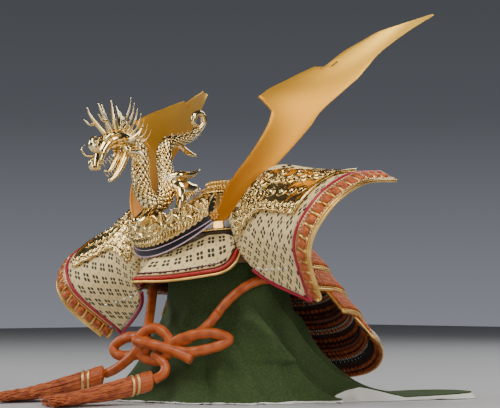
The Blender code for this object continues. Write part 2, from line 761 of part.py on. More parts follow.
def build_crest_relief():
    half = CRESCENT_HALF_ANGLE * RELIEF_SPAN
    rows = []
    for k in range(5):
        rows.append([relief_point(half * i / 10, k / 4) for i in range(-10, 11)])
    sheet("crest_relief", rows, RELIEF_WALL, PALE_GOLD)
    for side, word in ((1, "right"), (-1, "left")):
        angle = side * CRESCENT_HALF_ANGLE * KNOB_SPAN
        radius = CRESCENT_RADIUS + CRESCENT_WALL / 2 + KNOB_RADIUS + GAP
        height = crescent_foot(angle) + crescent_depth(angle) * 0.6
        knob = ball_mesh(f"crest_knob_{word}", on_circle(angle, radius, height), (KNOB_RADIUS,) * 3)
        place(f"crest_knob_{word}", knob, GOLD, True)


def horn_points(table):
    foot = on_circle(HORN_FOOT_ANGLE, CRESCENT_RADIUS - HORN_SET_BACK, CRESCENT_FOOT_Z + HORN_SEAT_RISE)
    return [foot + Vector((HORN_REACH * r, HORN_SWEEP * s, HORN_HEIGHT * h)) for r, s, h in table]


def horn_rows(front, back):
    return [front, [(a + b) / 2 for a, b in zip(front, back)], back]


def build_horns():
    front = horn_points(HORN_FRONT)
    back = horn_points(HORN_BACK)
    sheet("horn_right", horn_rows(front, back), HORN_WALL, GOLD)
    lift = [Vector((0, 0, HORN_LEFT_LIFT * math.sin(math.pi * row[2]))) for row in HORN_FRONT]
    raised = [p + up for p, up in zip(front, lift)]
    sheet("horn_left", [mirrored(row) for row in horn_rows(raised, back)], HORN_WALL, GOLD)


def dragon_strand(name, table, count, side=1, sides=2):
    """A tapering strand of the dragon from its row of shares."""
    snout_y = -(CRESCENT_RADIUS + DRAGON_LENGTH * 0.5)
    crest_z = crescent_foot(0.0) + RELIEF_SETBACK + RELIEF_DEPTH - DRAGON_SINK
    points = []
    for back, up, sideways, thick in table:
        points.append(Vector((side * DRAGON_LENGTH * sideways, snout_y + DRAGON_LENGTH * back,
                              crest_z + DRAGON_HEIGHT * up)))
    line = spline(points, count)
    widths = spline([(row[3], i, 0.0) for i, row in enumerate(table)], count)
    shares = [max(0.1, w[0]) for w in widths]
    return tube_mesh(name, line, DRAGON_BODY_RADIUS, shares, sides=sides)


def build_dragon():
    """One gilt casting: a scaled body in an S with a horned head, four limbs and a curled tail."""
    pieces = [
        dragon_strand("body", DRAGON_BODY, 17),
        dragon_strand("tail", DRAGON_TAIL, 8, sides=1),
        dragon_strand("foot", DRAGON_FOOT, 4, sides=1),
        dragon_strand("head", DRAGON_HEAD, 6),
        dragon_strand("jaw", DRAGON_JAW, 5, sides=1),
        dragon_strand("nose", DRAGON_NOSE, 5, sides=1),
        dragon_strand("thigh", DRAGON_THIGH, 6),
        dragon_strand("shin", DRAGON_SHIN, 5, sides=1),
        dragon_strand("arm", DRAGON_ARM, 6, sides=1),
        dragon_strand("claw", DRAGON_CLAW, 6, sides=1),
    ]
    for side in (1, -1):
        pieces.append(dragon_strand("horn", DRAGON_HORN, 4, side, 1))
        pieces.append(dragon_strand("ear", DRAGON_EAR, 4, side, 1))
        pieces.append(dragon_strand("mane", DRAGON_MANE, 4, side, 1))
    fuse("dragon", pieces, PALE_GOLD)


def flap_edge(table, count):
    root = Vector((BOWL_RADIUS + FLAP_ROOT_OUT, FLAP_ROOT_BACK - BOWL_RADIUS, RIM_Z + FLAP_ROOT_RISE))
    points = [root + Vector((FLAP_REACH * r, FLAP_DEPTH * d, FLAP_HEIGHT * h)) for r, d, h in table]
    return spline(points, count)


class Flap:
    """The turned-back flap as a patch between four edges; u runs outwards and v downwards."""

    def __init__(self):
        fine = 49
        self.top = flap_edge(TOP_EDGE, fine)
        self.bottom = flap_edge(BOTTOM_EDGE, fine)
        self.fold = flap_edge(FOLD_EDGE, fine)
        self.free = flap_edge(FREE_EDGE, fine)

    def read(self, line, share):
        place_on = min(max(share, 0.0), 1.0) * (len(line) - 1)
        i = min(int(place_on), len(line) - 2)
        return line[i].lerp(line[i + 1], place_on - i)

    def point(self, u, v):
        ruled_u = self.read(self.fold, v).lerp(self.read(self.free, v), u)
        ruled_v = self.read(self.top, u).lerp(self.read(self.bottom, u), v)
        corners = self.top[0].lerp(self.top[-1], u).lerp(self.bottom[0].lerp(self.bottom[-1], u), v)
        return ruled_u + ruled_v - corners

    def normal(self, u, v):
        step = 0.02
        along = self.point(min(u + step, 1), v) - self.point(max(u - step, 0), v)
        down = self.point(u, min(v + step, 1)) - self.point(u, max(v - step, 0))
        return down.cross(along).normalized()

    def inside(self, u, v):
        """The point a little way in from the edge."""
        return self.point(0.5 + (u - 0.5) * 0.9, 0.5 + (v - 0.5) * 0.9)


def lame_ring(height):
    """Radius of the neck guard's cone at a height."""
    seat = waist_seat() + LAME_WALL / 2 * math.sin(LAME_SLOPE)
    return seat + max(0.0, LAME_TOP_Z - height) / math.tan(LAME_SLOPE)


def flap_root(share):
    angle = LAME_FRONT_ANGLE - FLAP_FOLD_ANGLE
    height = LAME_TOP_Z + FLAP_FOLD_RISE - FLAP_FOLD_DEPTH * share
    return on_circle(angle, lame_ring(height), height)


def build_flap(word, flip):
    flap = Flap()
    rows = []
    for k in range(FLAP_ROWS):
        v = k / (FLAP_ROWS - 1)
        swell = Vector((FLAP_FOLD_SWELL * math.sin(math.pi * v), 0, 0))
        row = [flap_root(v), flap_root(v).lerp(flap.point(0, v), 0.5) + swell]
        row += [flap.point(i / (FLAP_COLUMNS - 1), v) for i in range(FLAP_COLUMNS)]
        rows.append(flip(row))
    sheet(f"ear_flap_{word}", rows, LEATHER, PRINT)

    edge = [(1.0, k / 22) for k in range(23)] + [(1.0 - k / 14, 1.0) for k in range(1, 14)]
    off = FLAP_PIPING / 2 + GAP * 3
    line = set_off([flap.point(u, v) for u, v in edge], [flap.inside(u, v) for u, v in edge], off)
    tube(f"flap_piping_{word}", flip(spline(line, 21)), FLAP_PIPING, RED)

    run = Vector((math.cos(FLAP_LACING_SLOPE), 0.0, -math.sin(FLAP_LACING_SLOPE)))
    start = off + FLAP_PIPING / 2 + GAP
    free = [(1.0, FLAP_LACING_SHARE * k / 13) for k in range(14)]
    base = set_off([flap.point(u, v) for u, v in free], [flap.inside(u, v) for u, v in free], start)
    rows = [[p + run * FLAP_BORDER * share for p in base] for share in (0.0, 1.0)]
    sheet(f"flap_lacing_{word}", [flip(row) for row in rows], LEATHER, LACING)
    rim = [p + run * (FLAP_BORDER + FLAP_RIM / 2 + GAP * 2) for p in base]
    tube(f"flap_rim_{word}", flip(spline(rim, 16)), FLAP_RIM, GOLD)

    rows = []
    deep = 2 * PLAQUE_ROWS + 1
    wide = 2 * PLAQUE_ROSETTES + 1
    for k in range(deep):
        row = []
        for i in range(wide):
            a = i / (wide - 1)
            b = k / (deep - 1)
            u = 0.05 + 0.85 * a
            v = (0.04 + 0.10 * (1 - a)) + b * (0.30 + 0.22 * a)
            rosette = 0.5 - 0.5 * math.cos(2 * math.pi * a * PLAQUE_ROSETTES)
            rosette *= 0.5 - 0.5 * math.cos(2 * math.pi * b * PLAQUE_ROWS)
            out = LEATHER / 2 + RELIEF_WALL / 2 + GAP * 4 + RELIEF_HEIGHT * rosette
            row.append(flap.point(u, v) + flap.normal(u, v) * out)
        rows.append(flip(row))
    sheet(f"flap_plaque_{word}", rows, RELIEF_WALL, PALE_GOLD)


def lame_section(index, angle):
    """Top and bottom of a lame at an angle, each as (radius, height)."""
    back = max(0.0, -math.cos(angle)) ** 4.5
    slope = Vector((math.cos(LAME_SLOPE), -math.sin(LAME_SLOPE)))
    inwards = Vector((-math.sin(LAME_SLOPE), -math.cos(LAME_SLOPE)))
    length = LAME_HEIGHT * (1 + LAME_BACK_STRETCH * back)
    top = Vector((lame_ring(LAME_TOP_Z), LAME_TOP_Z))
    pitch = length - LAME_LAP
    top = top + slope * pitch * index + inwards * (LAME_WALL + GAP * 2) * index
    return top, top + slope * length


def build_lames():
    for index in range(LAME_COUNT):
        first = LAME_FRONT_ANGLE + LAME_STEP_ANGLE * index
        last = 2 * math.pi - first
        columns = 20
        rows = []
        for share in (0.0, 1.0):
            row = []
            for i in range(columns + 1):
                angle = first + (last - first) * i / columns
                top, bottom = lame_section(index, angle)
                spot = top.lerp(bottom, share)
                row.append(on_circle(angle, spot[0], spot[1]))
            rows.append(row)
        sheet(f"neck_lame_{index + 1}", rows, LAME_WALL, LACING)


def metres(route):
    return [Vector(p) / 1000 for p in route]


def build_cord():
    """The chin cord goes once round the post; its two ends meet the knot."""
    route = spline(metres(CORD_ROUTE), 48)
    first = 5
    last = len(route) - 5
    start = route[first]
    start_way = (route[first + 1] - route[first]).normalized()
    end = route[last]
    end_way = (route[last] - route[last - 1]).normalized()
    half = GAP / 2
    stub = 0.002
    loop = [start + start_way * half, start + start_way * (half + stub)] + route[first + 2:last - 1]
    loop += [end - end_way * (half + stub), end - end_way * half]
    tube("chin_cord", loop, CORD, SILK, on_helmet=False)

    right_stub = route[:first - 1] + [start - start_way * (half + stub), start - start_way * half]
    left_stub = [end + end_way * half, end + end_way * (half + stub)] + route[last + 2:]
    pieces = [
        *(tube_mesh("loop", spline(metres(loop), 14, closed=True), KNOT_CORD / 2, closed=True, sides=1)
          for loop in (ROUND_LOOP, RIGHT_LOOP, LEFT_LOOP)),
        tube_mesh("across", spline(metres(ACROSS), 6), KNOT_CORD / 2, sides=1),
        tube_mesh("right_stub", right_stub, CORD / 2, sides=1),
        tube_mesh("left_stub", left_stub, CORD / 2, sides=1),
        tube_mesh("right_tail", spline(metres(RIGHT_TAIL), 7), CORD / 2, sides=1),
        tube_mesh("left_tail", spline(metres(LEFT_TAIL), 7), CORD / 2, sides=1),
    ]
    fuse("cord_knot", pieces, SILK, on_helmet=False)


# Stations along a tassel: share of length, of its half spread, of the head's radius upwards, lobe depth
TASSEL_STATIONS = (
    (0.00, 0.26, 0.62, 0.00),
    (0.02, 0.36, 0.90, 0.00),
    (0.09, 0.40, 1.00, 0.00),
    (0.16, 0.36, 0.88, 0.00),
    (0.22, 0.42, 0.98, 0.05),
    (0.38, 0.52, 0.90, 0.10),
    (0.58, 0.68, 0.72, 0.14),
    (0.80, 0.86, 0.52, 0.18),
    (1.00, 1.00, 0.34, 0.22),
)


def build_tassel(name, tail, finish_xy):
    """A bound head and a skirt of strands that fans out on the table in lobed locks."""
    route = spline(metres(tail), 7)
    way = (route[-1] - route[-2]).normalized()
    start = route[-1] + way * GAP * 2
    end = Vector((*finish_xy, TASSEL_FOOT_Z))
    flat = Vector((end[0] - start[0], end[1] - start[1], 0.0)).normalized()
    side = Vector((-flat[1], flat[0], 0.0))
    first_side = Vector((-way[1], way[0], 0.0)).normalized()
    bm = bmesh.new()
    rings = []
    count = 24
    for share, spread, thick, lobe in TASSEL_STATIONS:
        travel = flat * TASSEL_LENGTH * share
        fall = (start[2] - end[2]) * (1 - (1 - share) ** 1.6)
        centre = Vector((start[0] + travel[0], start[1] + travel[1], start[2] - fall))
        tilt = max(0.0, 1 - share * 6)
        ring = []
        for i in range(count):
            a = 2 * math.pi * i / count
            wave = 1 - lobe * (0.5 + 0.5 * math.cos(a * 8))
            wide = TASSEL_SPREAD / 2 * spread * math.cos(a)
            high = TASSEL_HEAD / 2 * thick * math.sin(a) * wave
            level = side.lerp(first_side, tilt)
            across = Vector((0, 0, 1)).lerp(way.cross(first_side), tilt)
            spot = centre + level * wide + across * high
            spot[2] = max(spot[2], 0.0005 + 0.0002 * math.cos(a))
            ring.append(bm.verts.new(spot))
        rings.append(ring)
    for low, high in zip(rings, rings[1:]):
        for i in range(count):
            j = (i + 1) % count
            bm.faces.new((low[i], low[j], high[j], high[i]))
    bm.faces.new(reversed(rings[0]))
    bm.faces.new(rings[-1])
    bmesh.ops.recalc_face_normals(bm, faces=bm.faces)
    mesh = bpy.data.meshes.new(name)
    bm.to_mesh(mesh)
    bm.free()
    smooth_faces(mesh)
    place(name, mesh, SILK, False)


build_stand()
build_cloth()
build_bowl()
build_waist_band()
build_lining()
build_crown_ring()
build_visor()
build_crescent()
build_crest_relief()
build_horns()
build_dragon()
build_flap("right", list)
build_flap("left", mirrored)
build_lames()
build_cord()
build_tassel("tassel_right", RIGHT_TAIL, RIGHT_TASSEL_END)
build_tassel("tassel_left", LEFT_TAIL, LEFT_TASSEL_END)
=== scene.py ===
import random
from math import acos, asin, cos, degrees, exp, pi, radians, sin, sqrt, tan

import bmesh
import bpy
import numpy as np
from mathutils import Matrix, Vector


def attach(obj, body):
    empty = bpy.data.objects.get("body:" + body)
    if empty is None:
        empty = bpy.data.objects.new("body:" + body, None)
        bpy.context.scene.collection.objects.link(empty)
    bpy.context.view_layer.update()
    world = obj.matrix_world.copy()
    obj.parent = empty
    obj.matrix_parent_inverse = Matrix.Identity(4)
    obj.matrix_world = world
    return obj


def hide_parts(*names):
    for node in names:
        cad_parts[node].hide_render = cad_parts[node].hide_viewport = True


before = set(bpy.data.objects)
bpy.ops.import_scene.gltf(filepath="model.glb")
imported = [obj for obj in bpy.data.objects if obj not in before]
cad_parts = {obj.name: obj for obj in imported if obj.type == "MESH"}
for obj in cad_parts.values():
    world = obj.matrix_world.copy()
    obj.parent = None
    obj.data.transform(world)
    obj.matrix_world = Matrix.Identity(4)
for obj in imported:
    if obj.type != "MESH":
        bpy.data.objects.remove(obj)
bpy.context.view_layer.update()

# The view and the light: a low camera before the right front of the helmet, which stands on a
# pale table. Four soft boxes and a tall strip light it, and the gilding mirrors them.
EYE_AZIMUTH = radians(50)
EYE_DISTANCE = 1.35
EYE_HEIGHT = 0.088
EYE_TILT = radians(3.66)
EYE_YAW = radians(0.84)
LENS = 108


def linked(name, data):
    """A new object in the scene."""
    made = bpy.data.objects.new(name, data)
    bpy.context.scene.collection.objects.link(made)
    return made


towards = Vector((sin(EYE_AZIMUTH), -cos(EYE_AZIMUTH), 0.0))
rightwards = Vector((cos(EYE_AZIMUTH), sin(EYE_AZIMUTH), 0.0))
gaze = -towards * cos(EYE_YAW) + rightwards * sin(EYE_YAW)
gaze = gaze * cos(EYE_TILT) + Vector((0, 0, 1)) * sin(EYE_TILT)
eye = linked("eye", bpy.data.cameras.new("eye"))
eye.data.lens = LENS
eye.location = towards * EYE_DISTANCE + Vector((0, 0, EYE_HEIGHT))
eye.rotation_euler = gaze.to_track_quat("-Z", "Y").to_euler()
bpy.context.scene.camera = eye


class Finish:
    """One material: the slot that it belongs to, its node tree and the few moves made in it."""

    def __init__(self, name, slot, colour, rough, metal=0.0):
        self.slot = slot
        self.material = bpy.data.materials.new(name)
        self.material.use_nodes = True
        self.tree = self.material.node_tree
        self.shader = self.tree.nodes["Principled BSDF"]
        self.set(**{"Base Color": (*colour, 1.0), "Roughness": rough, "Metallic": metal})

    def set(self, **values):
        for name, value in values.items():
            self.feed(self.shader.inputs[name], value)

    def feed(self, socket, value):
        if isinstance(value, bpy.types.NodeSocket):
            self.tree.links.new(value, socket)
        elif value is not None:
            socket.default_value = value

    def add(self, kind, **values):
        node = self.tree.nodes.new(kind)
        for name, value in values.items():
            self.feed(node.inputs[name.replace("_", " ")], value)
        return node

    def calc(self, step, a, b=None, c=None):
        node = self.tree.nodes.new("ShaderNodeMath")
        node.operation = step
        for i, value in enumerate((a, b, c)):
            self.feed(node.inputs[i], value)
        return node.outputs[0]

    def where(self, source="Object", scale=(1, 1, 1)):
        """Coordinates on the piece, stretched."""
        node = self.add("ShaderNodeMapping")
        self.feed(node.inputs["Vector"], self.tree.nodes.new("ShaderNodeTexCoord").outputs[source])
        node.inputs["Scale"].default_value = scale
        return node.outputs[0]

    def split(self, vector):
        node = self.add("ShaderNodeSeparateXYZ", Vector=vector)
        return node.outputs[0], node.outputs[1], node.outputs[2]

    def noise(self, vector, scale, detail=3.0):
        node = self.add("ShaderNodeTexNoise", Vector=vector, Scale=scale, Detail=detail)
        return node.outputs["Fac"]

    def cells(self, vector, scale, way="F1"):
        node = self.add("ShaderNodeTexVoronoi", Vector=vector, Scale=scale)
        node.feature = way
        return node.outputs["Distance"]

    def ramp(self, value, stops):
        node = self.tree.nodes.new("ShaderNodeValToRGB")
        self.feed(node.inputs[0], value)
        bar = node.color_ramp
        while len(bar.elements) < len(stops):
            bar.elements.new(0.5)
        for mark, (at, colour) in zip(bar.elements, stops):
            mark.position = at
            mark.color = (*colour, 1.0)
        return node.outputs[0]

    def blend(self, share, a, b):
        node = self.tree.nodes.new("ShaderNodeMix")
        node.data_type = "RGBA"
        self.feed(node.inputs[0], share)
        self.feed(node.inputs[6], (*a, 1.0) if isinstance(a, tuple) else a)
        self.feed(node.inputs[7], (*b, 1.0) if isinstance(b, tuple) else b)
        return node.outputs[2]

    def bump(self, height, strength, distance):
        node = self.add("ShaderNodeBump", Height=height, Strength=strength, Distance=distance)
        old = self.shader.inputs["Normal"]
        if old.is_linked:
            self.tree.links.new(old.links[0].from_socket, node.inputs["Normal"])
        self.tree.links.new(node.outputs[0], old)

    def grain(self, scale, detail, strength, distance):
        self.bump(self.noise(self.where(), scale, detail), strength, distance)

    def mottled(self, scale, detail, stops, stretch=(1, 1, 1)):
        """Colours the base by a noise and gives the noise back."""
        cloud = self.noise(self.where("Object", stretch), scale, detail)
        self.set(**{"Base Color": self.ramp(cloud, stops)})
        return cloud


TABLE_SPAN = 6.0
table_mesh = bpy.data.meshes.new("table")
half = TABLE_SPAN / 2
table_mesh.from_pydata([(-half, -half, 0), (half, -half, 0), (half, half, 0), (-half, half, 0)], [],
                       [(0, 1, 2, 3)])
table = linked("table", table_mesh)
pale = Finish("pale_table", None, (0.62, 0.63, 0.65), 0.45)
table_mesh.materials.append(pale.material)

studio = bpy.data.worlds.new("studio")
bpy.context.scene.world = studio
studio.use_nodes = True
sky = studio.node_tree
sky_way = sky.nodes.new("ShaderNodeTexCoord")
sky_parts = sky.nodes.new("ShaderNodeSeparateXYZ")
sky_shift = sky.nodes.new("ShaderNodeMath")
sky_shift.operation = "MULTIPLY_ADD"
sky_shift.inputs[1].default_value = 0.5
sky_shift.inputs[2].default_value = 0.5
sky_bar = sky.nodes.new("ShaderNodeValToRGB")
# Brightness of the backdrop from straight down, over the horizon, to straight up
for at, shade in ((0.47, 0.50), (0.56, 0.16), (0.70, 0.035)):
    mark = sky_bar.color_ramp.elements.new(at)
    mark.color = (shade * 0.90, shade * 0.95, shade * 1.08, 1.0)
sky_bar.color_ramp.elements[0].color = (0.42, 0.43, 0.45, 1.0)
sky_bar.color_ramp.elements[-1].color = (0.10, 0.105, 0.115, 1.0)
sky.links.new(sky_way.outputs["Generated"], sky_parts.inputs[0])
sky.links.new(sky_parts.outputs["Z"], sky_shift.inputs[0])
sky.links.new(sky_shift.outputs[0], sky_bar.inputs[0])
sky.links.new(sky_bar.outputs[0], sky.nodes["Background"].inputs[0])
sky.nodes["Background"].inputs[1].default_value = 0.6


def lamp(name, place, size, power, colour=(1, 1, 1), aim=(0, 0, 0.15), tall=None):
    """A soft box that faces the helmet."""
    data = bpy.data.lights.new(name, "AREA")
    data.shape = "RECTANGLE"
    data.size = size
    data.size_y = tall or size
    data.energy = power
    data.color = colour
    made = linked(name, data)
    made.location = place
    made.rotation_euler = (Vector(aim) - Vector(place)).to_track_quat("-Z", "Y").to_euler()


lamp("high_soft_box", (0.4, -0.8, 1.5), 0.9, 18, (1.0, 0.96, 0.90))
lamp("left_soft_box", (-1.3, -0.9, 0.8), 0.6, 11)
lamp("right_strip", (1.5, 0.1, 0.9), 0.4, 12, (1.0, 0.95, 0.88), tall=1.0)
lamp("front_soft_box", (1.1, -1.1, 0.35), 0.7, 4, (1.0, 0.94, 0.86), aim=(0, 0, 0.10))
lamp("back_soft_box", (-0.3, 1.4, 1.2), 0.8, 9)

# Chin cord: orange silk braided round into a cord as thick as a little finger. It goes once
# round the covered post and both its ends enter the knot, which lies on the front of the cloth.
CORD = 0.0082
KNOT_CORD = 0.0088
GAP = 0.0003
PLAIT_LOBES = 6
PLAIT_PITCH = 0.022
PLAIT_RELIEF = 0.035
PLAIT_SIDES = 24
CORD_ROUTE = (
    (26, -80, 50), (38, -73, 56), (48, -62, 67), (54, -49, 84), (58, -34, 97),
    (62, -16, 105), (63, 6, 106), (56, 30, 104), (37, 52, 102), (7, 64, 100),
    (-26, 58, 98), (-52, 36, 97), (-63, 5, 97), (-57, -29, 98), (-40, -53, 98),
    (-25, -66, 90), (-16, -76, 79), (-7, -83, 66), (0, -86, 56),
)
# The end that runs on through the knot and out below it to the left tassel
CORD_END = ((-9, -82, 69), (-4, -89, 58), (-6, -95, 47), (-15, -98, 38), (-28, -102, 29), (-40, -105, 24))
CORD_SAMPLES = 48
CORD_FIRST = 5
CORD_POINTS = 320


def circle(steps):
    """Evenly spaced angles, once round."""
    return [2 * pi * i / steps for i in range(steps)]


def metres(route):
    return [Vector(p) / 1000 for p in route]


def spline(points, count, closed=False):
    """Smooth curve through the points, sampled evenly by chord."""
    knots = [Vector(p) for p in points]
    if closed:
        knots = [knots[-1]] + knots + [knots[0], knots[1]]
    else:
        knots = [knots[0] * 2 - knots[1]] + knots + [knots[-1] * 2 - knots[-2]]
    spans = len(knots) - 3
    chords = [0.0]
    for i in range(spans):
        chords.append(chords[-1] + (knots[i + 2] - knots[i + 1]).length)
    made = []
    for n in range(count):
        target = chords[-1] * (n / count if closed else n / (count - 1))
        i = min(spans - 1, next((k for k in range(spans) if chords[k + 1] >= target), spans - 1))
        t = (target - chords[i]) / (chords[i + 1] - chords[i])
        a, b, c, d = knots[i:i + 4]
        made.append(0.5 * (2 * b + (c - a) * t + (2 * a - 5 * b + 4 * c - d) * t ** 2
                           + (3 * b - a - 3 * c + d) * t ** 3))
    return made


def lathe_frames(line, closed=False):
    """Direction and two cross directions at each point of a line, turned as little as possible."""
    count = len(line)
    frames = []
    side = None
    for i in range(count):
        ahead = line[(i + 1) % count] if closed else line[min(i + 1, count - 1)]
        behind = line[i - 1] if closed else line[max(i - 1, 0)]
        way = (ahead - behind).normalized()
        if side is None:
            side = way.orthogonal().normalized()
        side = (side - way * side.dot(way)).normalized()
        frames.append((way, side, way.cross(side)))
    return frames


def grid_mesh(name, rows, around=False, along=False, uvs=None, caps=False):
    """A mesh from rows of points. Around joins each row's ends, along the last row to the first."""
    height = len(rows)
    width = len(rows[0])
    points = [tuple(p) for row in rows for p in row]
    faces = []
    for k in range(height if along else height - 1):
        for i in range(width if around else width - 1):
            j, n = (i + 1) % width, (k + 1) % height
            faces.append((k * width + i, k * width + j, n * width + j, n * width + i))
    if caps:
        faces.append(tuple(reversed(range(width))))
        faces.append(tuple((height - 1) * width + i for i in range(width)))
    mesh = bpy.data.meshes.new(name)
    mesh.from_pydata(points, [], faces)
    if uvs:
        layer = mesh.uv_layers.new(name="UVMap")
        for face in mesh.polygons:
            column = face.index % (width if around else width - 1)
            for corner in face.loop_indices:
                at = mesh.loops[corner].vertex_index
                k, i = divmod(at, width)
                u, v = uvs(i, k)
                if around and column == width - 1 and i == 0:
                    u, _ = uvs(width, k)
                layer.data[corner].uv = (u, v)
    mesh.shade_smooth()
    return mesh


def plait(name, line, radius, closed=False):
    """A round plaited cord along a line: two families of strands cross in diamonds."""
    rows = []
    travelled = [0.0]
    for a, b in zip(line, line[1:]):
        travelled.append(travelled[-1] + (b - a).length)
    for (_, side, up), here, run in zip(lathe_frames(line, closed), line, travelled):
        row = []
        turn = 2 * pi * run / PLAIT_PITCH
        for angle in circle(PLAIT_SIDES):
            half = PLAIT_LOBES * angle / 2
            relief = 1 + PLAIT_RELIEF * sin(half + turn) * sin(half - turn)
            row.append(here + (side * cos(angle) + up * sin(angle)) * radius * relief)
        rows.append(row)
    return grid_mesh(name, rows, around=True, along=closed, caps=not closed,
                     uvs=lambda i, k: (i / PLAIT_SIDES, travelled[k] / PLAIT_PITCH))


def put(name, mesh, finish, nodes=()):
    """Place a finished mesh as a piece of the helmet."""
    made = linked(name, mesh)
    mesh.materials.clear()
    mesh.materials.append(finish.material)
    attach(made, "root")
    if nodes:
        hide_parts(*nodes)
    return made


def joined(name, meshes):
    """Several meshes as one, kept as they are."""
    bm = bmesh.new()
    for mesh in meshes:
        bm.from_mesh(mesh)
        bpy.data.meshes.remove(mesh)
    made = bpy.data.meshes.new(name)
    bm.to_mesh(made)
    bm.free()
    made.shade_smooth()
    return made


def silk_finish(name, slot, colour, shade):
    """Braided silk: fine threads that cross, a soft sheen and painted shade in the furrows."""
    made = Finish(name, slot, colour, 0.42)
    u, v, _ = made.split(made.where("UV"))

    def waves(way, turns):
        """Waves that run slantwise round the cord."""
        slant = made.calc(way, made.calc("MULTIPLY", u, turns), v)
        return made.calc("SINE", made.calc("MULTIPLY", slant, 6.2832))

    both = made.calc("MULTIPLY", waves("ADD", 2.0), waves("SUBTRACT", 2.0))
    cross = made.calc("MULTIPLY_ADD", both, 0.5, 0.5)
    patch = made.noise(made.where(), 90)
    # The colour is darker in the furrows of the plait, where the crossing mask sinks: painted shade, mixed
    # with patches that vary at random.
    tone = made.calc("ADD", made.calc("MULTIPLY", cross, 0.35), made.calc("MULTIPLY", patch, 0.6))
    made.set(**{"Base Color": made.ramp(tone, [(0.15, shade), (0.55, colour)]),
                "Sheen Weight": 0.12, "Sheen Roughness": 0.35, "Sheen Tint": (1.0, 0.72, 0.45, 1.0)})
    made.bump(cross, 0.5, 0.0008)
    made.bump(waves("ADD", 14.0), 0.25, 0.0002)
    return made


ORANGE_SILK = silk_finish("orange_silk", "orange_silk", (0.50, 0.105, 0.014), (0.30, 0.045, 0.006))
cord_route = spline(metres(CORD_ROUTE), CORD_SAMPLES)
cord_line = cord_route[CORD_FIRST:CORD_SAMPLES - CORD_FIRST - 1] + metres(CORD_END)
cord_line = spline(cord_line, CORD_POINTS)
chin_cord = put("braided_chin_cord", plait("braided_chin_cord", cord_line, CORD / 2), ORANGE_SILK,
                ["chin_cord"])

# Flower knot: the same silk cord, laid in three flat loops and a ring that bind each other.
# It is tied in the cord itself and rests against the cloth, with two short tails below it.
RIGHT_LOOP = ((23, -83, 50), (40, -75, 58), (56, -63, 60), (64, -53, 55), (56, -63, 48), (36, -78, 44))
LEFT_LOOP = ((0, -90, 54), (-20, -94, 56), (-36, -98, 49), (-33, -99, 41), (-17, -95, 40), (-2, -91, 44))
ROUND_LOOP = ((-8, -94, 50), (-3, -92, 60), (10, -88, 64), (21, -84, 56), (21, -83, 44), (10, -88, 36),
              (-4, -93, 40))
ACROSS = ((-7, -98, 54), (8, -95, 51), (26, -85, 46), (43, -76, 38))
RIGHT_TAIL = ((10, -90, 42), (22, -88, 33), (24, -91, 26), (18, -96, 21))
LEFT_TAIL = CORD_END[-4:]
knot = joined("flower_knot", [
    plait("ring", spline(metres(ROUND_LOOP), 90, True), KNOT_CORD / 2, closed=True),
    plait("right_loop", spline(metres(RIGHT_LOOP), 100, True), KNOT_CORD / 2, closed=True),
    plait("left_loop", spline(metres(LEFT_LOOP), 90, True), KNOT_CORD / 2, closed=True),
    plait("across", spline(metres(ACROSS), 50), KNOT_CORD / 2),
    plait("right_end", spline(cord_route[:CORD_FIRST + 1], 26), CORD / 2),
    plait("right_tail", spline(metres(RIGHT_TAIL), 40), CORD / 2),
])
flower_knot = put("flower_knot", knot, ORANGE_SILK, ["cord_knot"])

# Tassels: a hank of twisted silk strands doubled over the cord's end, bound under a plaited
# collar with a row of gilt thread. The strands fan out on the table and end in small loops.
TASSEL_LENGTH = 0.092
TASSEL_SPREAD = 0.046
TASSEL_HEAD = 0.019
TASSEL_FOOT_Z = 0.0046
STRAND = 0.00052
STRAND_COUNT = 230
STRAND_POINTS = 26
# Each strand's waves, share of the length and turn round the hank, and the loop at its end
STRAND_WAVE = (0.0007, 0.0020)
STRAND_REACH = (0.84, 1.0)
STRAND_DRIFT = (-0.55, 0.55)
STRAND_CURL = (0.0012, 0.0020)
STRAND_START = 0.19
HEAD_SHARE = 0.24
HEAD_STEPS = 34
HEAD_SIDES = 48
COLLAR_WIRE = 0.0006
COLLAR_RINGS = (0.155, 0.165, 0.205, 0.215)
TASSELS = (("right", RIGHT_TAIL, (-0.019, -0.182), 11), ("left", LEFT_TAIL, (-0.098, -0.176), 23))
# Share of length, of half spread and of head radius upwards
TASSEL_SHAPE = ((0.0, 0.30, 0.70), (0.03, 0.36, 0.88), (0.10, 0.38, 0.92), (0.17, 0.34, 0.80),
                (0.23, 0.40, 0.88), (0.40, 0.52, 0.80), (0.60, 0.68, 0.62), (0.80, 0.86, 0.44),
                (1.0, 1.0, 0.30))


def shape_at(share, column):
    """One column of the tassel's shape at a share of its length."""
    for low, high in zip(TASSEL_SHAPE, TASSEL_SHAPE[1:]):
        if share <= high[0]:
            t = (share - low[0]) / (high[0] - low[0])
            return low[column] + (high[column] - low[column]) * t
    return TASSEL_SHAPE[-1][column]


def node_tree(name, sockets):
    """An empty geometry tree with a mesh going in, a mesh coming out and named sizes."""
    tree = bpy.data.node_groups.new(name, "GeometryNodeTree")
    tree.interface.new_socket("Geometry", in_out="INPUT", socket_type="NodeSocketGeometry")
    tree.interface.new_socket("Geometry", in_out="OUTPUT", socket_type="NodeSocketGeometry")
    for label, kind in sockets:
        tree.interface.new_socket(label, in_out="INPUT", socket_type=f"NodeSocket{kind}")
    return tree, tree.nodes.new("NodeGroupInput"), tree.nodes.new("NodeGroupOutput")


def settled(temp):
    """The plain mesh that an object's modifiers make; the object goes."""
    graph = bpy.context.evaluated_depsgraph_get()
    made = bpy.data.meshes.new_from_object(temp.evaluated_get(graph))
    bpy.data.objects.remove(temp, do_unlink=True)
    return made


def grow(carrier, tree, values):
    """Run a geometry tree on a carrier mesh and return the plain mesh that it makes."""
    temp = linked("carrier", carrier)
    step = temp.modifiers.new("grow", "NODES")
    step.node_group = tree
    for item in tree.interface.items_tree:
        if item.item_type == "SOCKET" and item.in_out == "INPUT" and item.name in values:
            step[item.identifier] = values[item.name]
    return settled(temp)


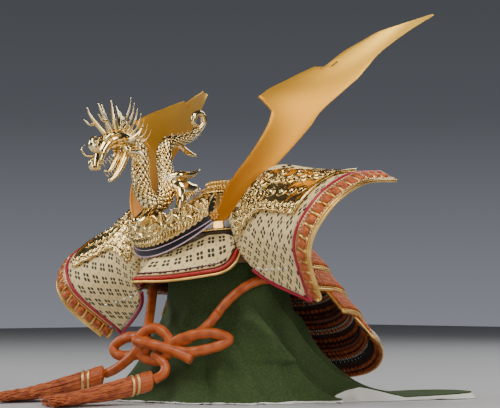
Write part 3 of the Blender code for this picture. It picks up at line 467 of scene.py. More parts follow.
def strand_tree(finish):
    """Turns a carrier's edges into round strands of one thickness."""
    tree, start, end = node_tree("strands", [("Thickness", "Float"), ("Sides", "Int")])
    line = tree.nodes.new("GeometryNodeMeshToCurve")
    ring = tree.nodes.new("GeometryNodeCurvePrimitiveCircle")
    skin = tree.nodes.new("GeometryNodeCurveToMesh")
    real = tree.nodes.new("GeometryNodeRealizeInstances")
    paint = tree.nodes.new("GeometryNodeSetMaterial")
    paint.inputs["Material"].default_value = finish.material
    join = tree.links.new
    join(start.outputs["Geometry"], line.inputs[0])
    join(start.outputs["Sides"], ring.inputs["Resolution"])
    join(start.outputs["Thickness"], ring.inputs["Radius"])
    join(line.outputs[0], skin.inputs["Curve"])
    join(ring.outputs["Curve"], skin.inputs["Profile Curve"])
    skin.inputs["Fill Caps"].default_value = True
    join(skin.outputs[0], real.inputs[0])
    join(real.outputs[0], paint.inputs[0])
    join(paint.outputs[0], end.inputs[0])
    return tree


def wires(name, lines):
    """A carrier of edges along several lines."""
    points, edges = [], []
    for line in lines:
        first = len(points)
        points += [tuple(p) for p in line]
        edges += [(first + i, first + i + 1) for i in range(len(line) - 1)]
    mesh = bpy.data.meshes.new(name)
    mesh.from_pydata(points, edges, [])
    return mesh


STRAND_SILK = Finish("strand_silk", "orange_silk", (0.66, 0.24, 0.085), 0.5)
STRAND_SILK.mottled(160, 2, [(0.3, (0.28, 0.045, 0.008)), (0.7, (0.58, 0.145, 0.028))])
STRAND_SILK.set(**{"Sheen Weight": 0.12, "Sheen Roughness": 0.4})
STRAND_SILK.grain(2600, 1, 0.5, 0.0002)
GILT_THREAD = Finish("gilt_thread", "gold_plate", (0.90, 0.66, 0.30), 0.35, 0.9)
GILT_THREAD.grain(1500, 2, 0.4, 0.0002)
strands = strand_tree(STRAND_SILK)
gilt_wire = strand_tree(GILT_THREAD)
for word, tail, foot, seed in TASSELS:
    chance = random.Random(seed)
    tail_line = spline(metres(tail), 7)
    way = (tail_line[-1] - tail_line[-2]).normalized()
    start = tail_line[-1] + way * GAP
    foot = Vector((*foot, TASSEL_FOOT_Z))
    flat = Vector((foot[0] - start[0], foot[1] - start[1], 0.0)).normalized()
    side = Vector((-flat[1], flat[0], 0.0))

    def tassel_point(share, angle, depth):
        """A point of the tassel at a share of its length, an angle and a depth from its axis."""
        fall = (start[2] - foot[2]) * (1 - (1 - share) ** 1.6)
        centre = start + flat * TASSEL_LENGTH * share - Vector((0, 0, fall))
        wide = TASSEL_SPREAD / 2 * shape_at(share, 1) * cos(angle) * depth
        high = TASSEL_HEAD / 2 * shape_at(share, 2) * sin(angle) * depth
        spot = centre + side * wide + Vector((0, 0, high))
        spot[2] = max(spot[2], 0.0012)
        return spot

    lines = []
    for n in range(STRAND_COUNT):
        angle = 2 * pi * n / STRAND_COUNT * 7.618
        depth = 0.45 + 0.55 * sqrt(chance.random())
        wave = chance.uniform(*STRAND_WAVE)
        phase = chance.uniform(0, 2 * pi)
        reach = chance.uniform(*STRAND_REACH)
        drift = chance.uniform(*STRAND_DRIFT)
        line = []
        for i in range(STRAND_POINTS):
            share = STRAND_START + (reach - STRAND_START) * i / (STRAND_POINTS - 1)
            spot = tassel_point(share, angle + drift * share, depth)
            loose = max(0.0, share - 0.3)
            spot += side * sin(share * 22 + phase) * wave * loose * 2
            spot += side * cos(angle) * TASSEL_SPREAD * 0.16 * loose ** 1.5
            spot[2] = max(0.0011, spot[2] + cos(share * 29 + phase) * wave * loose)
            line.append(spot)
        curl = chance.uniform(*STRAND_CURL)
        last = line[-1]
        for i in range(1, 9):
            bend = i / 8 * pi * 1.7
            line.append(last + flat * sin(bend) * curl + side * (1 - cos(bend)) * curl)
        lines.append(line)
    mesh = grow(wires("strands", lines), strands, {"Thickness": STRAND, "Sides": 5})
    mesh.shade_smooth()
    put(f"tassel_strands_{word}", mesh, STRAND_SILK, [f"tassel_{word}"])

    rows = []
    for k in range(HEAD_STEPS + 1):
        share = HEAD_SHARE * k / HEAD_STEPS
        row = []
        for angle in circle(HEAD_SIDES):
            weave = 1 + 0.035 * sin(angle * 12 + share * 420) * sin(angle * 12 - share * 420)
            close = sin(min(1.0, k / 5) * pi / 2) * (1 if k < HEAD_STEPS - 2 else 0.8)
            row.append(tassel_point(share, angle, weave * max(0.25, close)))
        rows.append(row)
    head = grid_mesh("head", rows, around=True, caps=True, uvs=lambda i, k: (i / 12, k / 6))
    put(f"tassel_head_{word}", head, ORANGE_SILK)
    loops = []
    for share in COLLAR_RINGS:
        loops.append([tassel_point(share, 2 * pi * i / 60, 1.06 + 0.03 * sin(i * 2.1)) for i in range(61)])
    collar = grow(wires("collar", loops), gilt_wire, {"Thickness": COLLAR_WIRE, "Sides": 6})
    collar.shade_smooth()
    put(f"tassel_collar_{word}", collar, GILT_THREAD)

# Stand: a turned pale wooden post on a round foot, with a domed head leant to one side. It
# only shows under the hem; the helmet's bowl sits on its head through the cloth.
WOOD = Finish("pale_wood", None, (0.52, 0.36, 0.20), 0.55)
grain = WOOD.mottled(120, 4, [(0.3, (0.40, 0.26, 0.13)), (0.7, (0.62, 0.45, 0.27))], (1, 1, 0.12))
WOOD.bump(grain, 0.15, 0.0004)
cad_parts["stand"].material_slots[0].material = WOOD.material

# Cloth: a kerchief of green silk crepe with a white lining, thrown over the head, gathered by
# the chin cord and spread on the table, with one corner drawn out behind the helmet.
HELMET_ROLL = radians(6.9)
ROLL_PIVOT_Z = 0.106
RIM_Z = 0.125
HEAD_RADIUS = 0.052
CLOTH = 0.0014
CLOTH_TOP = 0.0573
CLOTH_WAIST_RADIUS = 0.057
CLOTH_BREAK_Z = 0.072
HEM_RADIUS = 0.100
HEM_FOLD = 0.0052
SEATED = (Matrix.Translation((0, 0, ROLL_PIVOT_Z)) @ Matrix.Rotation(-HELMET_ROLL, 4, "Y")
          @ Matrix.Translation((0, 0, -ROLL_PIVOT_Z)))
# Direction of each stretch of hem from +X, its share of the hem radius and its lift as a share
HEM = (
    (-180, 1.20, 0.00), (-130, 1.26, 0.05), (-105, 0.97, 0.00), (-80, 0.83, 0.00), (-40, 0.79, 0.00),
    (-18, 0.84, 0.00), (-4, 0.86, 0.02), (6, 0.84, 0.00), (18, 1.0, 0.02), (28, 1.16, 0.11),
    (38, 1.45, 0.02), (50, 2.06, 0.045), (66, 1.45, 0.02), (100, 1.12, 0.00), (140, 1.10, 0.00),
)
# Folds that stand out: direction and height where each starts and ends, its width and its rise in mm
FOLDS = (
    (-24, 88, 15, 4, 8, 7.5), (-52, 60, -30, 2, 9, 3.2), (-78, 64, -60, 2, 9, 3.4),
    (-96, 70, -104, 2, 8, 3.6), (-2, 104, 34, 26, 7, 3.6), (30, 88, 52, 10, 9, 5.0),
    (-118, 70, -128, 2, 10, 4.6), (-40, 98, -8, 50, 6, 2.2), (70, 70, 64, 4, 9, 4.0),
    (100, 80, 108, 2, 9, 3.8), (140, 80, 136, 2, 10, 4.0), (172, 80, 176, 2, 10, 3.8),
    (-150, 80, -150, 2, 9, 4.0), (-66, 96, -90, 50, 7, 2.2), (-14, 60, -6, 2, 6, 2.6),
    (-44, 34, -46, 0, 6, 2.0),
)


def on_circle(angle, radius, height):
    """A point at an angle from the front, turning towards +X."""
    return Vector((radius * sin(angle), -radius * cos(angle), height))


def dome(radius, height, high, count):
    """Radii and heights of a dome over the rim, up to an angle."""
    rise = [high * i / (count - 1) for i in range(count)]
    return [(radius * cos(a) ** 0.95, RIM_Z + height * sin(a)) for a in rise]


def from_table(rows, value, column):
    """One column of a table of directions, smoothly between its rows."""
    table = [(r[0] - 360, *r[1:]) for r in rows] + list(rows) + [(r[0] + 360, *r[1:]) for r in rows]
    for low, high in zip(table, table[1:]):
        if low[0] <= value < high[0]:
            t = (value - low[0]) / (high[0] - low[0])
            t = t * t * (3 - 2 * t)
            return low[column] + (high[column] - low[column]) * t
    return table[-1][column]


def fold_rise(heading, height):
    """How far the folds stand out at a direction and a height above the table, in metres."""
    out = 0.0
    # The folds are deepest in front, where the cloth is gathered
    depth = 0.7 + 1.7 * max(0.0, cos(radians(heading)))
    for start_way, start_z, end_way, end_z, width, rise in FOLDS:
        t = (start_z - height * 1000) / (start_z - end_z)
        if not -0.15 < t < 1.3:
            continue
        away = (heading - (start_way + (end_way - start_way) * t) + 180) % 360 - 180
        wide = width * (0.7 + 0.5 * t) * (1.7 if away < 0 else 0.6)
        fade = min(1.0, max(0.0, (t + 0.15) / 0.4))
        groove = 0.5 * exp(-((away - width * 1.1) / (width * 0.7)) ** 2)
        out += depth * rise / 1000 * fade * (exp(-abs(away / wide) ** 1.6) - groove)
    ripple = sin(radians(heading) * 9 + height * 60) + 0.6 * sin(radians(heading) * 23 + 1.3)
    return out + HEM_FOLD * 0.10 * ripple * max(0.0, 1 - height / 0.09)


CLOTH_COLUMNS = 260
FALL_STEPS = 52
LINING_CLOTH = 0.0009
cloth_rows = []
for radius, height in reversed(dome(HEAD_RADIUS - CLOTH / 2, CLOTH_TOP, radians(86), 9)):
    cloth_rows.append([SEATED @ on_circle(a, radius, height) for a in circle(CLOTH_COLUMNS)])
lining_rows = []
for step in range(-8, FALL_STEPS + 4):
    row = []
    share = max(0.0, step / FALL_STEPS)
    for angle in circle(CLOTH_COLUMNS):
        heading = degrees(angle) - 90
        if heading > 180:
            heading -= 360
        if step < 0:
            t = (step + 9) / 9
            radius = HEAD_RADIUS - CLOTH / 2 + (CLOTH_WAIST_RADIUS - HEAD_RADIUS) * t
            height = RIM_Z + (CLOTH_BREAK_Z - RIM_Z) * t
            rise = max(0.0, fold_rise(heading, height)) * 0.7 * t
            lean = (SEATED @ on_circle(angle, radius + rise, height)) * (1 - t)
            row.append(lean + on_circle(angle, radius + rise, height) * t)
            continue
        reach = HEM_RADIUS * from_table(HEM, heading, 1)
        lift = HEM_RADIUS * from_table(HEM, heading, 2)
        spread = max(0.0, reach - CLOTH_WAIST_RADIUS)
        fall = 1.0 + 2.4 * spread / HEM_RADIUS
        low = CLOTH / 2 + 0.0006
        drape = (CLOTH_BREAK_Z - low) * max(0.0, 1 - share) ** fall
        height = low + drape + lift * share ** 2 * (1.8 - 0.8 * share)
        rise = fold_rise(heading, height)
        bead = 0.0012 * max(0.0, sin(radians(heading) * 14)) * share ** 8
        radius = CLOTH_WAIST_RADIUS + 0.001 + spread * min(share, 1.03) + max(-0.0008, rise)
        if share > 1.0:
            height = low - 0.0005
            bead = 0.0
        row.append(on_circle(angle, radius, height + bead))
    if step <= FALL_STEPS:
        cloth_rows.append(row)
    if step >= FALL_STEPS - 1:
        lining_rows.append([p - Vector((0, 0, 0.0008)) if p[2] > 0.0016 else p for p in row])


def walled(mesh, wall, offset=0.0, bevel=None):
    """The mesh with its wall thickness and the width of a bevel if any, as a plain mesh."""
    temp = linked("walled", mesh)
    shell = temp.modifiers.new("wall", "SOLIDIFY")
    shell.thickness = wall
    shell.offset = offset
    if bevel:
        soft = temp.modifiers.new("edge", "BEVEL")
        soft.width = bevel
        soft.segments = 2
        soft.limit_method = "ANGLE"
        soft.angle_limit = radians(50)
    return settled(temp)


def facing_out(mesh):
    """The mesh with its faces turned outwards."""
    bm = bmesh.new()
    bm.from_mesh(mesh)
    bmesh.ops.recalc_face_normals(bm, faces=bm.faces)
    bm.to_mesh(mesh)
    bm.free()
    mesh.shade_smooth()
    return mesh


CREPE = Finish("green_crepe", "green_crepe", (0.035, 0.075, 0.018), 0.85)
CREPE_GRAIN = 720
spot = CREPE.where()
crinkle = CREPE.cells(spot, CREPE_GRAIN, "SMOOTH_F1")
drift = CREPE.noise(spot, 24, 3)
# The crepe is painted darker in the hollows of its crinkle, where the bump sinks: painted shade. The drift
# noise varies the green at random.
tone = CREPE.calc("ADD", CREPE.calc("MULTIPLY", crinkle, 0.75), CREPE.calc("MULTIPLY", drift, 0.35))
CREPE.set(**{"Base Color": CREPE.ramp(tone, [(0.12, (0.010, 0.024, 0.004)), (0.75, (0.044, 0.082, 0.016))]),
             "Sheen Weight": 0.12, "Sheen Roughness": 0.5, "Sheen Tint": (0.6, 0.8, 0.45, 1.0)})
CREPE.bump(crinkle, 0.75, 0.0006)
LINING = Finish("white_lining", "green_crepe", (0.78, 0.78, 0.75), 0.8)
LINING.grain(900, 2, 0.3, 0.0003)
cloth_mesh = facing_out(walled(grid_mesh("kerchief", cloth_rows, around=True), CLOTH))
kerchief = put("crepe_kerchief", cloth_mesh, CREPE, ["stand_cloth"])
lining_mesh = facing_out(walled(grid_mesh("lining", lining_rows, around=True), LINING_CLOTH))
kerchief_lining = put("kerchief_lining", lining_mesh, LINING)

# Bowl: a dome of black lacquered iron plates whose edges stand up as ribs. Gilt blades run
# down the front, and rows of small rivets hold the plates. A brocade band lines the rim.
BOWL_RADIUS = 0.062
BOWL_HEIGHT = 0.060
BOWL_WALL = 0.002
CROWN_HOLE = 0.010
RIB_COUNT = 16
RIVET = 0.0011
RIB = 0.0008
DOME_ROWS = 22
RIVET_ROWS = range(5, 19, 2)
# The plates with a gilt blade, and the rows of the dome that it spans
BLADES = (0, 1, 2, 4, 12, 14, 15)
BLADE_ROWS = range(4, 19)
BLADE_WALL = 0.0006


def lathe(name, profile, steps=96, wave=None):
    """Turn a closed profile of (radius, height) points; wave makes both vary round it."""
    rows = []
    for angle in circle(steps):
        row = []
        for r, z in profile:
            if wave:
                r, z = wave(r, z, angle)
            row.append(on_circle(angle, r, z))
        rows.append(row)
    return facing_out(grid_mesh(name, rows, around=True, along=True,
                                uvs=lambda i, k: (k * 2 * pi * BOWL_RADIUS / steps, i * 0.004)))


def dome_angle(radius, rim_radius):
    return acos((radius / rim_radius) ** (1 / 0.95))


def scatter_tree():
    """Sets one small shape on every point, turned by its outward and along directions."""
    tree, start, end = node_tree("set_out",
                                 [("Shape", "Object"), ("Paint", "Material"), ("Length", "Float"),
                                             ("Width", "Float"), ("Height", "Float")])
    new, join = tree.nodes.new, tree.links.new
    shape, rows = new("GeometryNodeObjectInfo"), new("GeometryNodeInstanceOnPoints")
    size, stretch = new("ShaderNodeCombineXYZ"), new("ShaderNodeVectorMath")
    stretch.operation = "MULTIPLY"
    reads = []
    for label in ("outward", "along", "stretch"):
        read = new("GeometryNodeInputNamedAttribute")
        read.data_type = "FLOAT_VECTOR"
        read.inputs["Name"].default_value = label
        reads.append(read)
    stand_up, turn = new("FunctionNodeAlignRotationToVector"), new("FunctionNodeAlignRotationToVector")
    stand_up.axis = "Z"
    turn.axis = "X"
    turn.pivot_axis = "Z"
    real, paint = new("GeometryNodeRealizeInstances"), new("GeometryNodeSetMaterial")
    join(start.outputs["Shape"], shape.inputs["Object"])
    join(start.outputs["Geometry"], rows.inputs["Points"])
    join(shape.outputs["Geometry"], rows.inputs["Instance"])
    join(reads[0].outputs["Attribute"], stand_up.inputs["Vector"])
    join(stand_up.outputs[0], turn.inputs["Rotation"])
    join(reads[1].outputs["Attribute"], turn.inputs["Vector"])
    join(turn.outputs[0], rows.inputs["Rotation"])
    join(start.outputs["Length"], size.inputs[0])
    join(start.outputs["Width"], size.inputs[1])
    join(start.outputs["Height"], size.inputs[2])
    join(size.outputs[0], stretch.inputs[0])
    join(reads[2].outputs["Attribute"], stretch.inputs[1])
    join(stretch.outputs[0], rows.inputs["Scale"])
    join(rows.outputs[0], real.inputs[0])
    join(real.outputs[0], paint.inputs[0])
    join(start.outputs["Paint"], paint.inputs["Material"])
    join(paint.outputs[0], end.inputs[0])
    return tree


SET_OUT = scatter_tree()


def repeated(name, spots, shape, finish, length, width, height):
    """One shape set on many spots: each has a place, an outward and an along direction and
    may have its own share of the size."""
    carrier = bpy.data.meshes.new(name)
    carrier.from_pydata([tuple(s[0]) for s in spots], [], [])
    for column, label in ((1, "outward"), (2, "along"), (3, "stretch")):
        layer = carrier.attributes.new(label, "FLOAT_VECTOR", "POINT")
        values = [c for s in spots for c in (s[column] if len(s) > column else (1.0, 1.0, 1.0))]
        layer.data.foreach_set("vector", values)
    model = linked("model", shape)
    made = grow(carrier, SET_OUT, {"Shape": model, "Paint": finish.material, "Length": length,
                                   "Width": width, "Height": height})
    bpy.data.objects.remove(model, do_unlink=True)
    made.shade_smooth()
    made.name = name
    return made


def turned_shape(name, profile, steps):
    """A small round shape, one unit in radius, from its radii and heights."""
    rows = [[Vector((r * cos(a), r * sin(a), z)) for a in circle(steps)] for r, z in profile]
    return facing_out(grid_mesh(name, rows, around=True, caps=True))


def button_shape(steps=8):
    return turned_shape("button", ((1.0, -0.2), (0.95, 0.35), (0.6, 0.85), (0.12, 1.0)), steps)


def bead_shape():
    """A soft-cornered block that fills a unit cube about its centre."""
    bm = bmesh.new()
    bmesh.ops.create_cube(bm, size=1.0)
    bmesh.ops.subdivide_edges(bm, edges=bm.edges, cuts=1, use_grid_fill=True)
    for v in bm.verts:
        v.co = v.co.normalized() * 0.55 * 0.55 + v.co * 0.45
    mesh = bpy.data.meshes.new("bead")
    bm.to_mesh(mesh)
    bm.free()
    return mesh


def worn(name, mesh, finish, nodes=()):
    """Place a piece made upright, leant with the helmet on its stand."""
    mesh.transform(SEATED)
    return put(name, mesh, finish, nodes)


LACQUER = Finish("black_lacquer", "black_lacquer", (0.008, 0.008, 0.010), 0.30)
LACQUER.set(**{"Coat Weight": 0.3, "Coat Roughness": 0.24})
haze = LACQUER.noise(LACQUER.where(), 60, 4)
LACQUER.set(Roughness=LACQUER.calc("MULTIPLY_ADD", haze, 0.16, 0.24))
GILT = Finish("gilt_plate", "gold_plate", (0.85, 0.58, 0.22), 0.28, 1.0)
wear = GILT.mottled(70, 4, [(0.3, (0.62, 0.34, 0.08)), (0.6, (0.92, 0.62, 0.20))])
GILT.set(Roughness=GILT.calc("MULTIPLY_ADD", wear, 0.16, 0.30))
GILT.grain(900, 2, 0.08, 0.0002)

outer = dome(BOWL_RADIUS, BOWL_HEIGHT, dome_angle(CROWN_HOLE, BOWL_RADIUS), DOME_ROWS)
inner = dome(BOWL_RADIUS - BOWL_WALL, BOWL_HEIGHT - BOWL_WALL,
             dome_angle(CROWN_HOLE, BOWL_RADIUS - BOWL_WALL), DOME_ROWS)
worn("lacquered_bowl", lathe("bowl", outer + inner[::-1]), LACQUER, ["bowl"])
ribs, rivets, blades = [], [], []
for n in range(RIB_COUNT):
    angle = 2 * pi * (n + 0.5) / RIB_COUNT
    ribs.append([on_circle(angle, r + 0.0004, z + 0.0002) for r, z in outer[3:-2]])
    for k in RIVET_ROWS:
        tilt = k / DOME_ROWS * 1.5
        r, z = outer[k]
        for side in (-1, 1):
            turn = angle + side * pi / RIB_COUNT * 0.62
            up = on_circle(turn, r, 0) / r * cos(tilt) + Vector((0, 0, sin(tilt)))
            rivets.append((on_circle(turn, r + 0.0002, z), up, (0, 0, 1)))
gilt_rods = strand_tree(GILT)
worn("bowl_ribs", grow(wires("ribs", ribs), gilt_rods, {"Thickness": RIB, "Sides": 8}), GILT)
worn("bowl_rivets", repeated("rivets", rivets, button_shape(), GILT, RIVET, RIVET, RIVET), GILT)
for n in BLADES:
    centre = 2 * pi * n / RIB_COUNT
    rows = []
    for k in BLADE_ROWS:
        r, z = outer[k]
        half_turn = pi / RIB_COUNT * (0.50 - 0.022 * (k - BLADE_ROWS[0]))
        row = []
        for j in range(9):
            turn = centre + half_turn * (j / 4 - 1)
            tip = 0.004 * abs(j / 4 - 1) if k == BLADE_ROWS[0] else 0.0
            row.append(on_circle(turn, r + 0.0007 + 0.0004 * (1 - abs(j / 4 - 1)), z + tip))
        rows.append(row)
    blades.append(walled(grid_mesh("blade", rows), BLADE_WALL, -1.0))
worn("bowl_blades", facing_out(joined("blades", blades)), GILT)

# Crown ring: stepped rings of chrysanthemum petals in gilt metal, one on the next, round the
# hole in the crown. On a real bowl a tube through the hole usually clenches them to it.
RING_RADIUS = 0.019
RING_HEIGHT = 0.013
RING_BORE = 0.0075
RING_SEAT = 0.0142
RING_PETALS = 24
seat_z = RIM_Z + BOWL_HEIGHT * sin(dome_angle(RING_RADIUS, BOWL_RADIUS)) + GAP
# Share of the radius, share of the height and depth of the petals of each step
ring_steps = ((1.0, 0.0, 0.05), (1.02, 0.10, 0.05), (0.86, 0.26, 0.03), (0.78, 0.30, 0.0),
              (0.88, 0.40, 0.06), (0.86, 0.48, 0.06), (0.62, 0.58, 0.02), (0.66, 0.72, 0.06),
              (0.70, 0.84, 0.06), (0.55, 1.0, 0.02))
profile = [(RING_RADIUS * r, seat_z + RING_HEIGHT * z) for r, z, _ in ring_steps]
petals = {round(RING_RADIUS * r, 6): share for r, _, share in ring_steps}
profile += [(RING_BORE, profile[-1][1]), (RING_BORE, RIM_Z + BOWL_HEIGHT + GAP),
            (RING_SEAT, RIM_Z + BOWL_HEIGHT - 0.0001)]


def petalled(r, z, angle):
    return r * (1 + petals.get(round(r, 6), 0) * abs(sin(angle * RING_PETALS / 2))), z


crown = lathe("crown", profile, 192, petalled)
worn("crown_ring_petals", crown, GILT, ["crown_ring"])

# Waist band: a lacquered iron band riveted round the mouth of the bowl, with a gilt line
# along its foot and round-headed rivets. The brocade lining is glued inside the rim.
WAIST_HEIGHT = 0.020
WAIST_WALL = 0.0016
WAIST_FLARE = 0.010
WAIST_LINE = 0.0007
WAIST_LINES = (0.0015, 0.0185)
BROCADE_REACH = 0.010
BROCADE_WALL = 0.0015


def waist_surface(height):
    """Radius of the waist band's outside at a height."""
    foot = BOWL_RADIUS + WAIST_FLARE + WAIST_WALL
    climb = asin(WAIST_HEIGHT / BOWL_HEIGHT)
    top = BOWL_RADIUS * cos(climb) ** 0.95 + GAP + WAIST_WALL
    return foot + (top - foot) * (height - RIM_Z) / WAIST_HEIGHT


top = RIM_Z + WAIST_HEIGHT
profile = [(waist_surface(top), top), (waist_surface(RIM_Z + 0.01), RIM_Z + 0.01),
           (waist_surface(RIM_Z), RIM_Z), (waist_surface(RIM_Z) - WAIST_WALL, RIM_Z),
           (waist_surface(top) - WAIST_WALL, top)]
worn("lacquered_waist_band", lathe("waist", profile), LACQUER, ["waist_band"])
lines = [[on_circle(2 * pi * i / 120, waist_surface(z) + 0.0003, z) for i in range(121)]
         for z in (RIM_Z + up for up in WAIST_LINES)]
worn("waist_lines", grow(wires("lines", lines), gilt_rods, {"Thickness": WAIST_LINE, "Sides": 6}), GILT)
BROCADE = Finish("ochre_brocade", "gold_brocade", (0.45, 0.25, 0.06), 0.6)
weave = BROCADE.where()
figure = BROCADE.cells(weave, 170)
BROCADE.set(**{"Base Color": BROCADE.ramp(figure, [(0.25, (0.62, 0.38, 0.11)), (0.4, (0.22, 0.10, 0.03))]),
               "Sheen Weight": 0.3})
BROCADE.bump(BROCADE.noise(weave, 1400, 1), 0.3, 0.0003)
lining_radius = BOWL_RADIUS - BOWL_WALL - 2 * GAP
profile = [(lining_radius, RIM_Z + 0.0014), (lining_radius, RIM_Z - BROCADE_REACH),
           (lining_radius - 0.0007, RIM_Z - BROCADE_REACH - 0.001),
           (lining_radius - BROCADE_WALL, RIM_Z - BROCADE_REACH),
           (lining_radius - BROCADE_WALL, RIM_Z + 0.0014)]
worn("brocade_lining", lathe("lining_band", profile), BROCADE, ["lining_band"])

# Visor: a bill of thin iron covered with printed doeskin. A red leather piping is sewn round it
# with pale stitches on a dark red cord, and a gilt rim is clenched over the edge.
LEATHER = 0.002
# Cell of the print, and as shares of it the half width and place of its squares and its ring
PRINT_CELL = 0.0116
PRINT_SQUARE = 0.124
PRINT_SQUARE_AT = 0.165
PRINT_RING = 0.075
PRINT_RING_WIDTH = 0.022
VISOR_REACH = 0.027
VISOR_DROP = 0.021
VISOR_HALF_ANGLE = radians(57)
VISOR_END_RISE = 0.010
VISOR_END_ROUND = 0.0055
VISOR_SEAT_RISE = 0.003
VISOR_SIDE_SHARE = 0.13
VISOR_BOW = 0.25
VISOR_CORNER = 0.42
VISOR_PIPING = 0.0036
VISOR_RIM = 0.0024
STITCH_PITCH = 0.0024
VISOR_STITCH = (0.0016, 0.0006, 0.0024)
SEWN_CORD = 0.0010


def visor_point(angle, share):
    """A point of the visor at an angle from the front and a share of the way out."""
    side = abs(angle) / VISOR_HALF_ANGLE
    share *= 1 - VISOR_CORNER * max(0.0, (side - 0.70) / 0.30) ** 2.4
    rise = VISOR_END_RISE * min(1.0, side * 1.5) ** 2
    close = max(0.0, (side - 0.86) / 0.14) ** 2
    ridge = 0.0012 * exp(-(degrees(angle) / 8) ** 2)
    reach = VISOR_REACH * (VISOR_SIDE_SHARE + (1 - VISOR_SIDE_SHARE) * exp(-side / VISOR_BOW))
    inner_z = RIM_Z + VISOR_SEAT_RISE + rise - VISOR_END_ROUND * close
    drop = VISOR_DROP * (1 - 0.2 * side ** 2)
    outer_z = RIM_Z + VISOR_SEAT_RISE - drop + 2 * VISOR_END_ROUND * close + ridge
    root = waist_surface(inner_z) + LEATHER
    height = inner_z + (outer_z - inner_z) * share + 0.0015 * sin(pi * share)
    radius = root + (waist_surface(RIM_Z) + GAP + reach - root) * share
    return on_circle(angle, max(radius, waist_surface(max(height, RIM_Z)) + LEATHER * 1.6), height)


def set_off(edge, inside, distance):
    """Move an edge out at right angles to itself, away from the matching points inside it."""
    moved = []
    for i, here in enumerate(edge):
        along = (edge[min(i + 1, len(edge) - 1)] - edge[max(i - 1, 0)]).normalized()
        away = here - inside[i]
        away = (away - along * away.dot(along)).normalized()
        step = (edge[min(i + 1, len(edge) - 1)] - here).normalized()
        moved.append(here + away * distance / sqrt(max(0.3, 1 - away.dot(step) ** 2)))
    return moved


def leather_finish(name, slot, ground, warm):
    """Printed doeskin: groups of four black squares with small pale red rings between them."""
    made = Finish(name, slot, ground, 0.62)
    u, v, _ = made.split(made.where("UV", (1 / PRINT_CELL, 1 / PRINT_CELL, 1)))

    def apart(value, shift):
        """How far a place is from the middle of its cell."""
        return made.calc("SUBTRACT", made.calc("FRACT", made.calc("ADD", value, shift)), 0.5)

    def from_square(value):
        aside = made.calc("SUBTRACT", made.calc("ABSOLUTE", apart(value, 0.0)), PRINT_SQUARE_AT)
        return made.calc("POWER", made.calc("ABSOLUTE", aside), 4.0)

    far = made.calc("POWER", made.calc("ADD", from_square(u), from_square(v)), 0.25)
    black = made.calc("LESS_THAN", far, PRINT_SQUARE)
    far = made.calc("ADD", made.calc("POWER", apart(u, 0.5), 2.0), made.calc("POWER", apart(v, 0.5), 2.0))
    off_ring = made.calc("ABSOLUTE", made.calc("SUBTRACT", made.calc("SQRT", far), PRINT_RING))
    red = made.calc("LESS_THAN", off_ring, PRINT_RING_WIDTH)
    spot = made.where()
    soft = made.noise(spot, 40, 4)
    skin = made.blend(made.calc("MULTIPLY", soft, 0.8), ground, warm)
    skin = made.blend(made.calc("MULTIPLY", red, 0.75), skin, (0.62, 0.20, 0.13))
    skin = made.blend(made.calc("MULTIPLY", black, 0.97), skin, (0.012, 0.012, 0.014))
    made.set(**{"Base Color": skin, "Specular IOR Level": 0.3})
    pore = made.noise(spot, 1500, 2)
    made.bump(pore, 0.25, 0.0002)
    made.bump(made.calc("SUBTRACT", 1.0, black), 0.25, 0.0003)
    return made


def soft_leather(name, slot, colour, dark, rough):
    """A matt coloured ground such as dyed leather, darker in its grain."""
    made = Finish(name, slot, colour, rough)
    grain = made.mottled(500, 3, [(0.3, dark), (0.65, colour)])
    made.set(**{"Coat Weight": 0.1})
    made.bump(grain, 0.2, 0.0003)
    return made


CREAM = (0.95, 0.77, 0.40)
PRINT = leather_finish("printed_doeskin", "printed_leather", CREAM, (0.90, 0.66, 0.28))
CRIMSON = soft_leather("crimson_piping", "red_piping", (0.48, 0.010, 0.040), (0.28, 0.005, 0.020), 0.4)
SCARLET = soft_leather("scarlet_piping", "red_piping", (0.50, 0.008, 0.006), (0.30, 0.004, 0.004), 0.4)
DARK_CORD = soft_leather("dark_red_cord", "red_piping", (0.10, 0.008, 0.012), (0.04, 0.004, 0.006), 0.6)
STITCH = Finish("pale_stitches", "red_piping", (0.72, 0.58, 0.48), 0.6)
STITCH.grain(3000, 1, 0.4, 0.0001)

rows = [[visor_point(VISOR_HALF_ANGLE * i / 60, k / 16) for i in range(-60, 61)] for k in range(17)]
visor_mesh = grid_mesh("visor", rows, uvs=lambda i, k: ((i - 60) * 0.0015, k * VISOR_REACH / 15))
worn("visor_leather", facing_out(walled(visor_mesh, LEATHER)), PRINT, ["visor"])


def visor_border(distance, count, lift=0.0):
    """A line round the outer edge and both ends of the visor."""
    path = [(-VISOR_HALF_ANGLE, s) for s in (0.05, 0.3, 0.6)]
    path += [(VISOR_HALF_ANGLE * k / 20, 1.0) for k in range(-20, 21)]
    path += [(VISOR_HALF_ANGLE, s) for s in (0.6, 0.3, 0.05)]
    edge = [visor_point(a, s) for a, s in path]
    inside = [visor_point(a * 0.93, s * 0.8) for a, s in path]
    return [p + Vector((0, 0, lift)) for p in spline(set_off(edge, inside, distance), count)]


def rod(name, line, radius, sides=12, swell=None):
    """A round rod along a line, with UV along it in metres."""
    rows = []
    for n, ((_, side, up), here) in enumerate(zip(lathe_frames(line), line)):
        r = radius * (swell(n / (len(line) - 1)) if swell else 1.0)
        rows.append([here + (side * cos(a) + up * sin(a)) * r for a in circle(sides)])
    step = (line[1] - line[0]).length
    return facing_out(grid_mesh(name, rows, around=True, caps=True, uvs=lambda i, k: (i / sides, k * step)))


def paced(line, pitch, first=0):
    """The stretches of a line that are met at every pitch along it, with their numbers."""
    run = 0.0
    for n, (a, b) in enumerate(zip(line, line[1:])):
        run += (b - a).length
        if run >= pitch and n >= first:
            run = 0.0
            yield n, a, b


